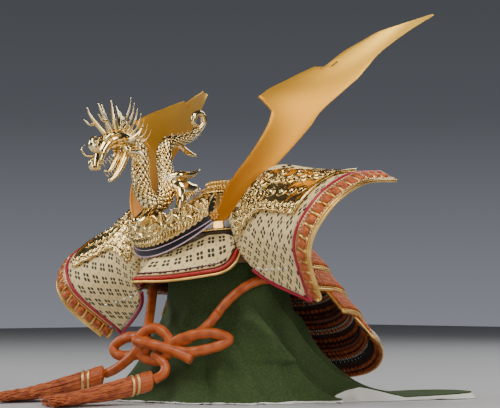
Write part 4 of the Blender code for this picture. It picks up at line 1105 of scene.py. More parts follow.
piping_out = VISOR_PIPING / 2 + GAP * 4
worn("visor_piping_leather", rod("piping", visor_border(piping_out, 160), VISOR_PIPING / 2), SCARLET,
     ["visor_piping"])
rim_out = piping_out + VISOR_PIPING / 2 + VISOR_RIM / 2 + GAP * 2
worn("visor_gilt_rim", rod("rim", visor_border(rim_out, 160), VISOR_RIM / 2), GILT, ["visor_rim"])
sewn = visor_border(-0.0008, 300, LEATHER / 2 + 0.0005)
worn("visor_sewn_cord", rod("sewn", sewn, SEWN_CORD, 8), DARK_CORD)
stitches = [(b, Vector((b[0], b[1], 0)).normalized() + Vector((0, 0, 1.2)),
             (b - a).normalized() + Vector((0, 0, 0.35))) for _, a, b in paced(sewn, STITCH_PITCH)]
worn("visor_stitches", repeated("stitches", stitches, bead_shape(), STITCH, *VISOR_STITCH), STITCH)

# Crescent: a black lacquered iron plate bent round the brow. Thin pale lilac rods along it, one above
# its middle and one at its foot, are painted highlights on the lacquer. The gilt casting in front of it is
# cast with leaves, medallions and a row of leaf tips below.
CRESCENT_RADIUS = BOWL_RADIUS + 0.019
CRESCENT_WALL = 0.0018
CRESCENT_HALF_ANGLE = radians(46)
CRESCENT_DEPTH = 0.017
CRESCENT_FOOT_Z = RIM_Z + 0.0010
CRESCENT_RISE = 0.024
# Share of the depth and half thickness of each pale rod that paints a highlight
CRESCENT_HIGHLIGHTS = ((0.34, 0.00045), (0.0, 0.0006))
RELIEF_DEPTH = 0.021
RELIEF_SETBACK = 0.008
RELIEF_SPAN = CRESCENT_HALF_ANGLE * 0.90
RELIEF_WALL = 0.0010
LEAF_CURL = 0.35
LEAF_WALL = 0.09
BOSS_PROFILE = ((1.0, -0.25), (1.0, 0.12), (0.92, 0.30), (0.80, 0.16), (0.72, 0.14), (0.62, 0.38),
                (0.50, 0.20), (0.36, 0.22), (0.24, 0.50), (0.05, 0.62))
LEAF = (0.0105, 0.0098, 0.0070)
BOSS = (0.0062, 0.0062, 0.0034)


def crescent_foot(angle):
    return CRESCENT_FOOT_Z + CRESCENT_RISE * (abs(angle) / CRESCENT_HALF_ANGLE) ** 2


def crescent_depth(angle):
    return CRESCENT_DEPTH * (1 - 0.62 * (abs(angle) / CRESCENT_HALF_ANGLE) ** 3)


def crescent_point(angle, share, out=0.0):
    """A point of the crescent at an angle and a share of its depth."""
    return on_circle(angle, CRESCENT_RADIUS + out, crescent_foot(angle) + crescent_depth(angle) * share)


rows = [[crescent_point(CRESCENT_HALF_ANGLE * i / 40, k / 8) for i in range(-40, 41)] for k in range(9)]
worn("lacquered_crescent", facing_out(walled(grid_mesh("crescent", rows), CRESCENT_WALL)), LACQUER,
     ["crest_crescent"])
# The pale lilac rods paint the highlights of the black lacquer onto the crescent: painted highlights.
LILAC_HIGHLIGHT = Finish("lilac_painted_highlight", "black_lacquer", (0.62, 0.42, 0.52), 0.35)
LILAC_HIGHLIGHT.grain(400, 2, 0.15, 0.0002)
CASTING = Finish("pale_gold_casting", "pale_gold_casting", (0.86, 0.74, 0.44), 0.22, 1.0)
pits = CASTING.mottled(380, 3,
                       [(0.30, (0.46, 0.27, 0.06)), (0.48, (0.86, 0.62, 0.24)), (0.8, (0.97, 0.80, 0.42))])
CASTING.set(Roughness=CASTING.calc("MULTIPLY_ADD", pits, 0.16, 0.14))
CASTING.bump(pits, 0.12, 0.0002)
highlight_rods = []
for share, thick in CRESCENT_HIGHLIGHTS:
    line = [crescent_point(CRESCENT_HALF_ANGLE * i / 40, share, CRESCENT_WALL / 2 + 0.0003)
            for i in range(-38, 39)]
    highlight_rods.append(rod("ridge", line, thick, 8))
worn("crescent_ridges", joined("highlight_rods", highlight_rods), LILAC_HIGHLIGHT)


def leaf_shape():
    """A pointed leaf one unit long with a raised midrib, lying along X."""
    rows = []
    for k in range(9):
        t = k / 8
        half = 0.30 * sin(pi * t ** 0.8) ** 0.8 * (1 + 0.16 * sin(t * 19))
        row = []
        for j in range(7):
            across = j / 6 * 2 - 1
            ridge = 0.16 * (1 - abs(across)) ** 0.7 - 0.1 * abs(across)
            row.append(Vector((t - 0.5, half * across, ridge + LEAF_CURL * (t - 0.4) ** 2)))
        rows.append(row)
    return facing_out(walled(grid_mesh("leaf", rows), LEAF_WALL, -1.0))


def medallion_shape():
    """A round boss of one unit radius with a beaded ring and a domed centre."""
    rows = []
    for r, z in BOSS_PROFILE:
        beads = 0.05 if r in (0.92, 1.0) else 0.0
        rows.append([Vector((r * cos(a), r * sin(a), z)) * (1 + beads * cos(a * 8)) for a in circle(32)])
    return facing_out(grid_mesh("medallion", rows, around=True, caps=True))


def relief_point(angle, share, out=0.0):
    across = abs(angle) / CRESCENT_HALF_ANGLE
    tips = 0.0016 * abs(sin(angle / CRESCENT_HALF_ANGLE * pi * 12))
    low = crescent_foot(angle) + RELIEF_SETBACK + 0.0018 - tips * (1 - share)
    depth = RELIEF_DEPTH * (1 - 0.55 * across ** 2) + tips - 0.0018
    crown = 0.0012 * abs(sin(angle / CRESCENT_HALF_ANGLE * pi * 7)) * share
    radius = CRESCENT_RADIUS + CRESCENT_WALL / 2 + 0.0012 + out
    return on_circle(angle, radius, low + depth * share + crown)


rows = [[relief_point(RELIEF_SPAN * i / 120, k / 10, 0.0009 * sin(pi * k / 10)) for i in range(-120, 121)]
        for k in range(11)]
plate = walled(grid_mesh("relief", rows), RELIEF_WALL)
leaves, bosses = [], []
for n in range(-9, 10):
    angle = RELIEF_SPAN * n / 9.6
    out = on_circle(angle, 1, 0)
    tangent = Vector((cos(angle), sin(angle), 0))
    size = 1 - 0.35 * abs(n) / 9
    if n % 3 == 0:
        bosses.append((relief_point(angle, 0.56, 0.0012), out, tangent, (size, size, 1)))
    else:
        for share, tilt in ((0.74, 0.7), (0.44, -0.5)):
            way = tangent * cos(tilt) * (1 if n % 3 == 1 else -1) + Vector((0, 0, sin(tilt)))
            leaves.append((relief_point(angle, share, 0.0014), out, way, (size, size * 1.1, 1)))
    for shift in (-0.018, 0.018):
        leaves.append((relief_point(angle + shift, 0.22, 0.0010), out, Vector((0, 0, -1)),
                       (size * 0.62, size * 0.62, 1)))
    leaves.append((relief_point(angle + 0.01, 0.95, 0.0010), out, Vector((0.4 * (-1) ** n, 0, 1)),
                   (size, size, 1)))
relief_parts = [facing_out(plate),
                repeated("leaves", leaves, leaf_shape(), CASTING, *LEAF),
                repeated("bosses", bosses, medallion_shape(), CASTING, *BOSS)]
worn("crest_relief_casting", joined("relief", relief_parts), CASTING, ["crest_relief"])
KNOB_RADIUS = 0.0045


def knob_petal():
    return turned_shape("petal",
                        ((0.1, -1.0), (0.72, -0.70), (1.0, 0.0), (0.86, 0.5), (0.5, 0.86), (0.08, 1.0)), 12)


for side, word in ((1, "right"), (-1, "left")):
    angle = side * CRESCENT_HALF_ANGLE * 0.97
    place = crescent_point(angle, 0.6, CRESCENT_WALL / 2 + 0.0009)
    petals = []
    for n in range(8):
        turn = n * pi / 4
        way = Vector((cos(angle), sin(angle), 0)) * cos(turn) + Vector((0, 0, sin(turn)))
        petals.append((place + way * KNOB_RADIUS * 0.62, on_circle(angle, 1, 0), way))
    heart = [(place, on_circle(angle, 1, 0), (0, 0, 1))]
    knob = joined("knob", [
        repeated("petals", petals, knob_petal(), GILT, KNOB_RADIUS * 0.42, KNOB_RADIUS * 0.30,
                 KNOB_RADIUS * 0.5),
        repeated("heart", heart, knob_petal(), GILT, KNOB_RADIUS * 0.42, KNOB_RADIUS * 0.42,
                 KNOB_RADIUS * 0.9)])
    worn(f"crest_knob_flower_{word}", knob, GILT, [f"crest_knob_{word}"])

# Hoe-shaped horns: two tall sheets of gilded copper, cut with hooked steps along the front
# edge and slotted behind the second hook. A socket behind the crescent holds them.
HORN_WALL = 0.0016
HORN_EDGE = 0.0004
HORN_HEIGHT = 0.177
HORN_REACH = 0.109
HORN_SWEEP = 0.183
HORN_FOOT = on_circle(radians(42.9), CRESCENT_RADIUS - 0.0039, CRESCENT_FOOT_Z + 0.023)
HORN_LEFT_LIFT = 0.016
HORN_FRONT = (
    (0.00, 0.00, 0.00), (0.07, 0.015, 0.075), (0.14, 0.03, 0.15), (0.22, 0.07, 0.23), (0.29, 0.12, 0.31),
    (0.335, 0.17, 0.39), (0.36, 0.21, 0.46), (0.37, 0.23, 0.515), (0.345, 0.205, 0.552),
    (0.318, 0.178, 0.585), (0.322, 0.25, 0.635), (0.34, 0.36, 0.69), (0.352, 0.45, 0.732),
    (0.365, 0.535, 0.766), (0.385, 0.57, 0.760), (0.41, 0.585, 0.768), (0.46, 0.63, 0.812),
    (0.52, 0.68, 0.855), (0.60, 0.75, 0.898), (0.68, 0.81, 0.935), (0.82, 0.895, 0.962), (1.00, 1.00, 1.00),
)
HORN_BACK = (
    (0.06, 0.05, 0.00), (0.22, 0.16, 0.15), (0.34, 0.29, 0.29), (0.41, 0.38, 0.39), (0.45, 0.43, 0.45),
    (0.49, 0.48, 0.52), (0.56, 0.58, 0.61), (0.62, 0.66, 0.68), (0.64, 0.69, 0.71), (0.71, 0.79, 0.82),
    (0.84, 0.915, 0.92), (1.01, 1.005, 0.995),
)
# Rows of the front table that keep their corner
HORN_CORNERS = (7, 9, 13)
# The side that the sheet faces, the lines across it and the heights that the slot spans
HORN_FACING = (-0.766, 0.643, 0)
HORN_ROWS = (0.0, 0.12, 0.17, 0.28, 0.4, 0.52, 0.64, 0.76, 0.88, 1.0)
HORN_SLOT = (0.766, 0.800)
HORN_GILT = Finish("gilded_copper", "gold_plate", (0.90, 0.62, 0.24), 0.46, 0.9)
_, _, height = HORN_GILT.split(HORN_GILT.where())
cloud = HORN_GILT.noise(HORN_GILT.where(), 26, 4)
brushed = HORN_GILT.noise(HORN_GILT.where("Object", (1, 1, 0.3)), 1600, 2)
# The gilding is painted deeper and redder towards the horns' feet and paler towards their tips, by height:
# painted shade low down and painted light high up.
climb = HORN_GILT.calc("MULTIPLY_ADD", cloud, 0.16, HORN_GILT.calc("MULTIPLY_ADD", height, 5.0, -0.88))
HORN_GILT.set(**{"Base Color": HORN_GILT.ramp(climb,
                                              [(0.0, (0.60, 0.22, 0.016)), (0.45, (0.88, 0.42, 0.04)),
                                                      (0.9, (0.96, 0.60, 0.09))]),
                 "Roughness": HORN_GILT.calc("MULTIPLY_ADD", brushed, 0.08, 0.46)})
HORN_GILT.bump(brushed, 0.05, 0.00005)


def with_corners(points, corners, count):
    """Smooth runs between kept corners, sampled by chord."""
    cuts = [0, *corners, len(points) - 1]
    runs = [sum((b - a).length for a, b in zip(points[i:j], points[i + 1:j + 1])) for i,
            j in zip(cuts, cuts[1:])]
    line = []
    for (i, j), run in zip(zip(cuts, cuts[1:]), runs):
        steps = max(4, round(count * run / sum(runs)))
        line += spline(points[i:j + 1], steps + 1)[:-1]
    line.append(points[-1])
    return line


def horn_terms(across, height):
    """The terms of a cubic surface at one place of the horn, both shares of its size."""
    return [across ** i * height ** j for i in range(4) for j in range(4 - i)]


def horn_mesh(lifted, mirror):
    foot = Vector(HORN_FOOT)
    facing = Vector(HORN_FACING).normalized()
    along = Vector((-facing.y, facing.x, 0))

    def edge(table):
        return [Vector((HORN_REACH * r, HORN_SWEEP * s, HORN_HEIGHT * h)) for r, s, h in table]

    # One sheet bent in a smooth sweep comes closest to both edges
    known = edge(HORN_FRONT) + edge(HORN_BACK)
    terms = [horn_terms(p.dot(along) / HORN_HEIGHT, p.z / HORN_HEIGHT) for p in known]
    sweep = np.linalg.lstsq(np.array(terms), np.array([p.dot(facing) for p in known]), rcond=None)[0]
    front = with_corners(edge(HORN_FRONT), HORN_CORNERS, 110)
    back = spline(edge(HORN_BACK), len(front))
    bm = bmesh.new()
    grid = []
    for t in HORN_ROWS:
        row = []
        for a, b in zip(front, back):
            p = a.lerp(b, t)
            depth = float(np.dot(horn_terms(p.dot(along) / HORN_HEIGHT, p.z / HORN_HEIGHT), sweep))
            p += facing * (depth - p.dot(facing))
            p.z += HORN_LEFT_LIFT * sin(pi * a.z / HORN_HEIGHT) * (1 - t) * lifted
            row.append(bm.verts.new(foot + p))
        grid.append(row)
    count = len(front)
    for k in range(len(HORN_ROWS) - 1):
        for i in range(count - 1):
            height = front[i].z / HORN_HEIGHT
            # A narrow slot follows the front edge behind the second hook
            if k == 1 and HORN_SLOT[0] < height < HORN_SLOT[1] and i > count // 2:
                continue
            bm.faces.new((grid[k][i], grid[k][i + 1], grid[k + 1][i + 1], grid[k + 1][i]))
    if mirror:
        for v in bm.verts:
            v.co.x = -v.co.x
    bmesh.ops.recalc_face_normals(bm, faces=bm.faces)
    mesh = bpy.data.meshes.new("horn")
    bm.to_mesh(mesh)
    bm.free()
    made = walled(mesh, HORN_WALL, bevel=HORN_EDGE)
    made.shade_smooth()
    return made


worn("gilded_horn_right", horn_mesh(0.0, False), HORN_GILT, ["horn_right"])
worn("gilded_horn_left", horn_mesh(1.0, True), HORN_GILT, ["horn_left"])

# Ear flaps: doeskin over iron, turned back at the front ends of the neck guard. Each has a cast
# plaque above, a crimson piping, a dotted band, silk lacing between gilt bars and a gilt rim.
FLAP_REACH = 0.102
FLAP_DEPTH = 0.086
FLAP_HEIGHT = 0.115
FLAP_ROOT = Vector((BOWL_RADIUS + 0.007, 0.010 - BOWL_RADIUS, RIM_Z + 0.025))
FLAP_PIPING = 0.0036
FLAP_BORDER = 0.016
FLAP_RIM = 0.0024
FLAP_LACE_PITCH = 0.0094
FLAP_BAR = (0.0125, 0.0030, 0.0026)
FLAP_BRAID = (0.0095, 0.0082, 0.0052)
FLAP_DOT = (0.0015, 0.0015, 0.0015)
FLAP_STITCH = (0.0015, 0.0006, 0.0007)
# Rows of dots across the border: place, pitch and share of the size
FLAP_DOTS = ((0.0018, 0.0022, 0.55), (0.0044, 0.0030, 0.6), (0.0140, 0.0026, 0.5))
# Gilt edgings across the border: place and half thickness
FLAP_EDGINGS = ((0.0031, 0.0009), (0.0128, 0.0011), (0.0152, 0.0012), (0.0004, 0.0009))
FLAP_GROUND = 0.0014
PLAQUE_LEAF = (0.0100, 0.0100, 0.0080)
PLAQUE_BOSS = (0.0056, 0.0056, 0.0030)
PEARL_STUD = (0.0017, 0.0017, 0.0014)
FLAP_SLOPE = radians(33)
LAME_WALL = 0.0024
LAME_SLOPE = radians(53)
LAME_TOP_Z = RIM_Z + 0.0012
LAME_FRONT_ANGLE = radians(74)
TOP_EDGE = ((0.00, 0.00, 0.00), (0.16, 0.17, 0.22), (0.29, 0.37, 0.35), (0.56, 0.60, 0.29),
            (0.82, 0.76, 0.235), (1.00, 0.92, 0.21))
FREE_EDGE = ((1.00, 0.92, 0.21), (1.04, 0.40, 0.15), (1.00, 0.00, -0.04), (0.82, -0.08, -0.30),
             (0.59, 0.29, -0.65))
FOLD_EDGE = ((0.00, 0.00, 0.00), (0.04, 0.06, -0.24), (0.10, 0.14, -0.37))
BOTTOM_EDGE = ((0.10, 0.14, -0.37), (0.24, 0.23, -0.49), (0.59, 0.29, -0.65))


def lame_ring(height):
    seat = waist_surface(RIM_Z) + GAP + LAME_WALL / 2 * sin(LAME_SLOPE)
    return seat + max(0.0, LAME_TOP_Z - height) / tan(LAME_SLOPE)


def flap_fold(share):
    height = LAME_TOP_Z + 0.006 - 0.024 * share
    return on_circle(LAME_FRONT_ANGLE - 0.012, lame_ring(height), height)


def flap_edge(table):
    return spline([FLAP_ROOT + Vector((FLAP_REACH * r, FLAP_DEPTH * d, FLAP_HEIGHT * h)) for r, d,
                   h in table], 49)


FLAP_LINES = [flap_edge(table) for table in (TOP_EDGE, BOTTOM_EDGE, FOLD_EDGE, FREE_EDGE)]


def read_line(line, share):
    place = min(max(share, 0.0), 1.0) * (len(line) - 1)
    i = min(int(place), len(line) - 2)
    return line[i].lerp(line[i + 1], place - i)


def flap_point(u, v):
    """A point of the flap; u runs outwards from the fold and v downwards."""
    top, bottom, fold, free = FLAP_LINES
    ruled = read_line(fold, v).lerp(read_line(free, v), u) + read_line(top, u).lerp(read_line(bottom, u), v)
    return ruled - top[0].lerp(top[-1], u).lerp(bottom[0].lerp(bottom[-1], u), v)


def flap_out(u, v):
    """Direction square to the flap, away from the bowl."""
    along = flap_point(min(u + 0.02, 1), v) - flap_point(max(u - 0.02, 0), v)
    down = flap_point(u, min(v + 0.02, 1)) - flap_point(u, max(v - 0.02, 0))
    return down.cross(along).normalized()


def flap_border(distance, path, count):
    edge = [flap_point(u, v) for u, v in path]
    inside = [flap_point(0.5 + (u - 0.5) * 0.9, 0.5 + (v - 0.5) * 0.9) for u, v in path]
    return spline(set_off(edge, inside, distance), count)


def paired(name, side, mesh, finish, nodes=()):
    """Place a piece of a flap on the right, or mirrored on the left."""
    if side < 0:
        mesh.transform(Matrix.Scale(-1, 4, Vector((1, 0, 0))))
        mesh.flip_normals()
    return worn(name, mesh, finish, nodes)


LACE_SILK = Finish("orange_lacing", "orange_lacing", (0.74, 0.24, 0.08), 0.45)
LACE_SILK.mottled(260, 2, [(0.32, (0.28, 0.045, 0.006)), (0.62, (0.58, 0.135, 0.020))])
LACE_SILK.set(**{"Sheen Weight": 0.12, "Sheen Roughness": 0.4, "Sheen Tint": (1.0, 0.75, 0.5, 1.0)})
LACE_SILK.grain(2400, 1, 0.5, 0.0002)
LACE_GROUND = soft_leather("lacing_ground", "orange_lacing", (0.50, 0.12, 0.04), (0.20, 0.03, 0.012), 0.6)
PEARL = Finish("pearl_rivets", "gold_plate", (0.92, 0.88, 0.80), 0.22, 0.6)
PEARL.grain(900, 2, 0.1, 0.0002)
flap_columns, flap_rows = 44, 48
# Turn of the print on each flap
PRINT_TURN = {1: radians(42), -1: radians(20)}


def turned_print(u, v, angle):
    return u * cos(angle) - v * sin(angle), u * sin(angle) + v * cos(angle)


border_path = [(1.0, k / 40) for k in range(41)] + [(1.0 - k / 24, 1.0) for k in range(1, 24)]
free_path = [(1.0, 0.94 * k / 36) for k in range(37)]
run = Vector((cos(FLAP_SLOPE), 0.0, -sin(FLAP_SLOPE)))
piping_out = FLAP_PIPING / 2 + GAP * 3
lace_start = piping_out + FLAP_PIPING / 2 + GAP
for side, word in ((1, "right"), (-1, "left")):
    rows = []
    for k in range(flap_rows + 1):
        v = k / flap_rows
        root, first = flap_fold(v), flap_point(0, v)
        row = [root, root.lerp(first, 0.5) + Vector((0.003, 0, 0)) * sin(pi * v)]
        row += [flap_point(i / flap_columns, v) for i in range(flap_columns + 1)]
        rows.append(row)
    middle = rows[flap_rows // 2]
    run_u = [0.0]
    for a, b in zip(middle, middle[1:]):
        run_u.append(run_u[-1] + (b - a).length)
    drop = sum((rows[k + 1][24] - rows[k][24]).length for k in range(flap_rows)) / flap_rows
    leather = grid_mesh("flap", rows, uvs=lambda i, k: turned_print(run_u[i], k * drop, PRINT_TURN[side]))
    paired(f"flap_leather_{word}", side, facing_out(walled(leather, LEATHER)), PRINT, [f"ear_flap_{word}"])
    line = flap_border(piping_out, border_path, 150)
    paired(f"flap_crimson_piping_{word}", side, rod("piping", line, FLAP_PIPING / 2), CRIMSON,
           [f"flap_piping_{word}"])
    base = flap_border(lace_start, free_path, 120)
    rows = [[p + run * FLAP_BORDER * k / 6 for p in base] for k in range(7)]
    ground = facing_out(walled(grid_mesh("ground", rows), FLAP_GROUND))
    paired(f"flap_lacing_ground_{word}", side, ground, LACE_GROUND, [f"flap_lacing_{word}"])
    beads, bars, dots, rivets = [], [], [], []
    for _, a, b in paced(base, FLAP_LACE_PITCH):
        way = (b - a).normalized()
        out = run.cross(way).normalized()
        if out.z < 0:
            out = -out
        for face in (1, -1):
            raised = out * face * 0.0009
            beads.append((b + run * 0.0085 + raised, out * face, run))
            bars.append((b + way * 0.0047 + run * 0.0090 + raised * 1.1, out * face, run))
    for strip, pitch, size in FLAP_DOTS:
        for _, a, b in paced(base, pitch):
            out = run.cross((b - a).normalized()).normalized()
            out = out if out.z > 0 else -out
            dots.append((b + run * strip + out * 0.0007, out, run, (size, size, size)))
    edging = [rod("edging", [p + run * at for p in base], thick, 8) for at, thick in FLAP_EDGINGS]
    windows = repeated("bars", bars, bead_shape(), GILT, *FLAP_BAR)
    paired(f"flap_gilt_bars_{word}", side, joined("bars", [windows] + edging), GILT)
    braid = repeated("braid", beads, bead_shape(), LACE_SILK, *FLAP_BRAID)
    paired(f"flap_braid_{word}", side, braid, LACE_SILK)
    paired(f"flap_dots_{word}", side, repeated("dots", dots, button_shape(), PEARL, *FLAP_DOT), PEARL)
    rim = [p + run * (FLAP_BORDER + FLAP_RIM / 2 + GAP * 2) for p in base]
    paired(f"flap_gilt_rim_{word}", side, rod("rim", rim, FLAP_RIM / 2), GILT, [f"flap_rim_{word}"])
    sheet_rows, leaves, bosses = [], [], []

    def plaque_point(a, b, out=0.0):
        u = 0.05 + 0.85 * a
        v = (0.04 + 0.10 * (1 - a)) + b * (0.30 + 0.22 * a)
        rise = LEATHER / 2 + 0.0015 + out
        return flap_point(u, v) + flap_out(u, v) * rise, flap_out(u, v)

    for k in range(17):
        b = k / 16
        row = []
        for i in range(65):
            a = i / 64
            scallop = 0.020 * abs(sin(a * pi * 7)) * b
            row.append(plaque_point(a, b * (1 - 0.05) + scallop, 0.0004 * sin(a * 40) * sin(b * 17))[0])
        sheet_rows.append(row)
    chance = random.Random(7)
    for across in range(9):
        for deep in range(4):
            a = 0.05 + across * 0.118 + (0.059 if deep % 2 else 0.0)
            b = 0.12 + deep * 0.265
            if a > 0.98:
                continue
            here, out = plaque_point(a, b, 0.0003)
            ahead, _ = plaque_point(min(1, a + 0.01), b, 0.0003)
            way = (ahead - here).normalized()
            if deep % 2 == 0:
                bosses.append((here, out, way))
                continue
            bosses.append((here, out, way, (0.72, 0.72, 1.2)))
            for turn in (0.6, 2.5, 3.8, 5.6):
                angle = turn + chance.uniform(-0.15, 0.15)
                spin = way * cos(angle) + out.cross(way) * sin(angle)
                leaves.append((here + spin * 0.0058, out, spin, (0.55, 0.6, 0.7)))
    rim_line = [plaque_point(i / 60, 0.955 + 0.020 * abs(sin(i / 60 * pi * 7)), 0.0007)[0]
                for i in range(61)]
    side_line = [plaque_point(1.0, k / 20, 0.0006)[0] for k in range(20)]
    parts = [facing_out(walled(grid_mesh("plaque", sheet_rows), RELIEF_WALL)),
             repeated("leaves", leaves, leaf_shape(), CASTING, *PLAQUE_LEAF),
             repeated("bosses", bosses, medallion_shape(), CASTING, *PLAQUE_BOSS),
             rod("rim", rim_line, 0.0014, 8), rod("side", side_line, 0.0012, 8)]
    paired(f"flap_cast_plaque_{word}", side, joined("plaque", parts), CASTING, [f"flap_plaque_{word}"])
    sewn = flap_border(-0.0012, border_path, 260)
    stitches = []
    for n, a, b in paced(sewn, STITCH_PITCH):
        share = n / 260
        u, v = (1.0, min(1.0, share * 1.55)) if share < 0.645 else (1.0 - (share - 0.645) / 0.355, 1.0)
        out = flap_out(u, v)
        for face in (1, -1):
            stitches.append((b + out * face * (LEATHER / 2 + 0.0001), out * face, (b - a).normalized()))
    seam = repeated("seam", stitches, bead_shape(), STITCH, *FLAP_STITCH)
    paired(f"flap_stitches_{word}", side, seam, STITCH)
    for n in range(5):
        u, v = 0.22 + 0.15 * n, 0.93 - 0.02 * n
        rivets.append((flap_point(u, v) + flap_out(u, v) * LEATHER / 2, flap_out(u, v), (0, 0, 1)))
    studs = repeated("studs", rivets, button_shape(16), PEARL, *PEARL_STUD)
    paired(f"flap_pearl_rivets_{word}", side, studs, PEARL)

# Dragon: one gilt casting that stands on the crest. Its scaled body rises in an S to a horned
# head with an open mouth, and its comb, limbs, claws and curled tail are cast in one with it.
DRAGON_LENGTH = 0.120
DRAGON_HEIGHT = 0.106
DRAGON_THICK = 0.0056
DRAGON_SCALE = 0.0044
DRAGON_FIN = (0.0022, 0.0022, 0.0046)
DRAGON_TOOTH = (0.0015, 0.0015, 0.0034)
DRAGON_CLAW = (0.0024, 0.0024, 0.0062)
DRAGON_RAY = (0.0020, 0.0020, 0.0075)
DRAGON_EYE = (0.0023, 0.0023, 0.0023)
DRAGON_COMB = 0.0019
SCALES_ROUND = 9
DRAGON_GOLD = Finish("dragon_gold", "pale_gold_casting", (0.90, 0.80, 0.55), 0.14, 1.0)
wear = DRAGON_GOLD.mottled(90, 3,
                           [(0.3, (0.84, 0.58, 0.20)), (0.55, (0.95, 0.76, 0.38)),
                            (0.8, (0.97, 0.90, 0.70))])
DRAGON_GOLD.set(Roughness=DRAGON_GOLD.calc("MULTIPLY_ADD", wear, 0.16, 0.05))
DRAGON_GOLD.grain(700, 2, 0.06, 0.0002)


def dragon_spot(back, up, sideways):
    """A place by its shares of the dragon's length and height."""
    return Vector((DRAGON_LENGTH * sideways,
                   -(CRESCENT_RADIUS + DRAGON_LENGTH * 0.5) + DRAGON_LENGTH * back,
                   crescent_foot(0.0) + RELIEF_SETBACK + RELIEF_DEPTH - 0.0012 + DRAGON_HEIGHT * up))


def limb(table, count, side=1, sides=14, flat=1.0):
    """A tapering rounded strand through rows of back, up, sideways and thickness."""
    line = spline([dragon_spot(b, u, s * side) for b, u, s, _ in table], count)
    thick = spline([(row[3], i, 0) for i, row in enumerate(table)], count)
    rows = []
    for n, ((way, _, _), here) in enumerate(zip(lathe_frames(line), line)):
        side_way = (Vector((1, 0, 0)) - way * way.x).normalized()
        up_way = way.cross(side_way)
        r = DRAGON_THICK * max(0.06, thick[n][0])
        rows.append([here + side_way * r * flat * cos(a) + up_way * r * sin(a) for a in circle(sides)])
    return facing_out(grid_mesh("limb", rows, around=True, caps=True)), line, [max(0.06, t[0])
                                                                               for t in thick]


def scale_shape():
    """A pointed scale that stands up at its tip, one unit long, lying along X."""
    rows = []
    for t, half, z in ((-0.5, 0.26, 0.0), (-0.1, 0.50, 0.16), (0.25, 0.34, 0.30), (0.55, 0.02, 0.34)):
        rows.append([Vector((t, half * s, z - 0.12 * abs(s))) for s in (-1, 0, 1)])
    return facing_out(walled(grid_mesh("scale", rows), 0.16, -1.0))


def spine_shape():
    """A curved blade that tapers to a point, one unit long, standing along Z."""
    rows = []
    for t in (0.0, 0.25, 0.5, 0.75, 1.0):
        half = 0.5 * (1 - t) ** 0.8 + 0.02
        rows.append([Vector((half * cos(a) + 0.35 * t ** 2, 0.5 * half * sin(a), t))
                     for a in circle(8)])
    return facing_out(grid_mesh("spine", rows, around=True, caps=True))


def round_shape():
    return turned_shape("round", ((0.1, -1.0), (0.75, -0.68), (1.0, 0.0), (0.75, 0.68), (0.1, 1.0)), 10)


DRAGON_BODY = (
    (0.30, 0.69, 0.00, 0.95), (0.38, 0.67, 0.00, 1.10), (0.43, 0.57, 0.00, 1.15), (0.425, 0.41, 0.00, 1.15),
    (0.44, 0.27, 0.00, 1.15), (0.51, 0.17, 0.02, 1.18), (0.60, 0.22, 0.04, 1.12), (0.64, 0.36, 0.03, 1.08),
    (0.635, 0.50, 0.02, 1.00), (0.65, 0.62, 0.01, 0.95), (0.71, 0.70, 0.00, 0.85), (0.82, 0.73, 0.00, 0.72),
    (0.92, 0.77, 0.00, 0.60), (0.99, 0.83, 0.00, 0.50),
)
body, line, thick = limb(DRAGON_BODY, 110, sides=20)
parts, scales, fins = [body], [], []
for ring, (n, a, b) in enumerate(paced(line, DRAGON_SCALE * 0.62, 5), 1):
    way = (b - a).normalized()
    across = (Vector((1, 0, 0)) - way * way.x).normalized()
    up = way.cross(across)
    radius = DRAGON_THICK * thick[n]
    for i in range(SCALES_ROUND):
        turn = 2 * pi * (i + 0.5 * (ring % 2)) / SCALES_ROUND
        out = across * cos(turn) + up * sin(turn)
        size = thick[n] / 1.1
        scales.append((b + out * radius * 0.99, out, way, (1, size, size)))
    if ring % 2 == 0:
        crest = -up if n > 60 else up
        crest = crest if crest.dot(b - dragon_spot(0.53, 0.45, 0)) > 0 else -crest
        fins.append((b + crest * radius * 0.9, crest, way, (0.7, 1, 0.75)))
for n in range(7):
    t = n / 6
    base = dragon_spot(0.24 + 0.17 * t, 0.755 - 0.10 * t, 0.0)
    tip = dragon_spot(0.31 + 0.16 * t, 1.03 - 0.26 * t, 0.0)
    for lean in (-0.10, 0.10):
        spike = tip - base + Vector((DRAGON_LENGTH * lean, 0, 0))
        rows = []
        for k in range(7):
            s = k / 6
            bend = Vector((0, 0.004 * sin(pi * s), 0))
            rows.append(base + spike * s + bend)
        parts.append(rod("comb", rows, DRAGON_COMB, 8, lambda s: 1.04 - s))
parts.append(limb(((0.24, 0.74, 0.0, 0.5), (0.33, 0.80, 0.0, 0.5), (0.42, 0.66, 0.0, 0.4)), 10,
                  flat=0.5)[0])
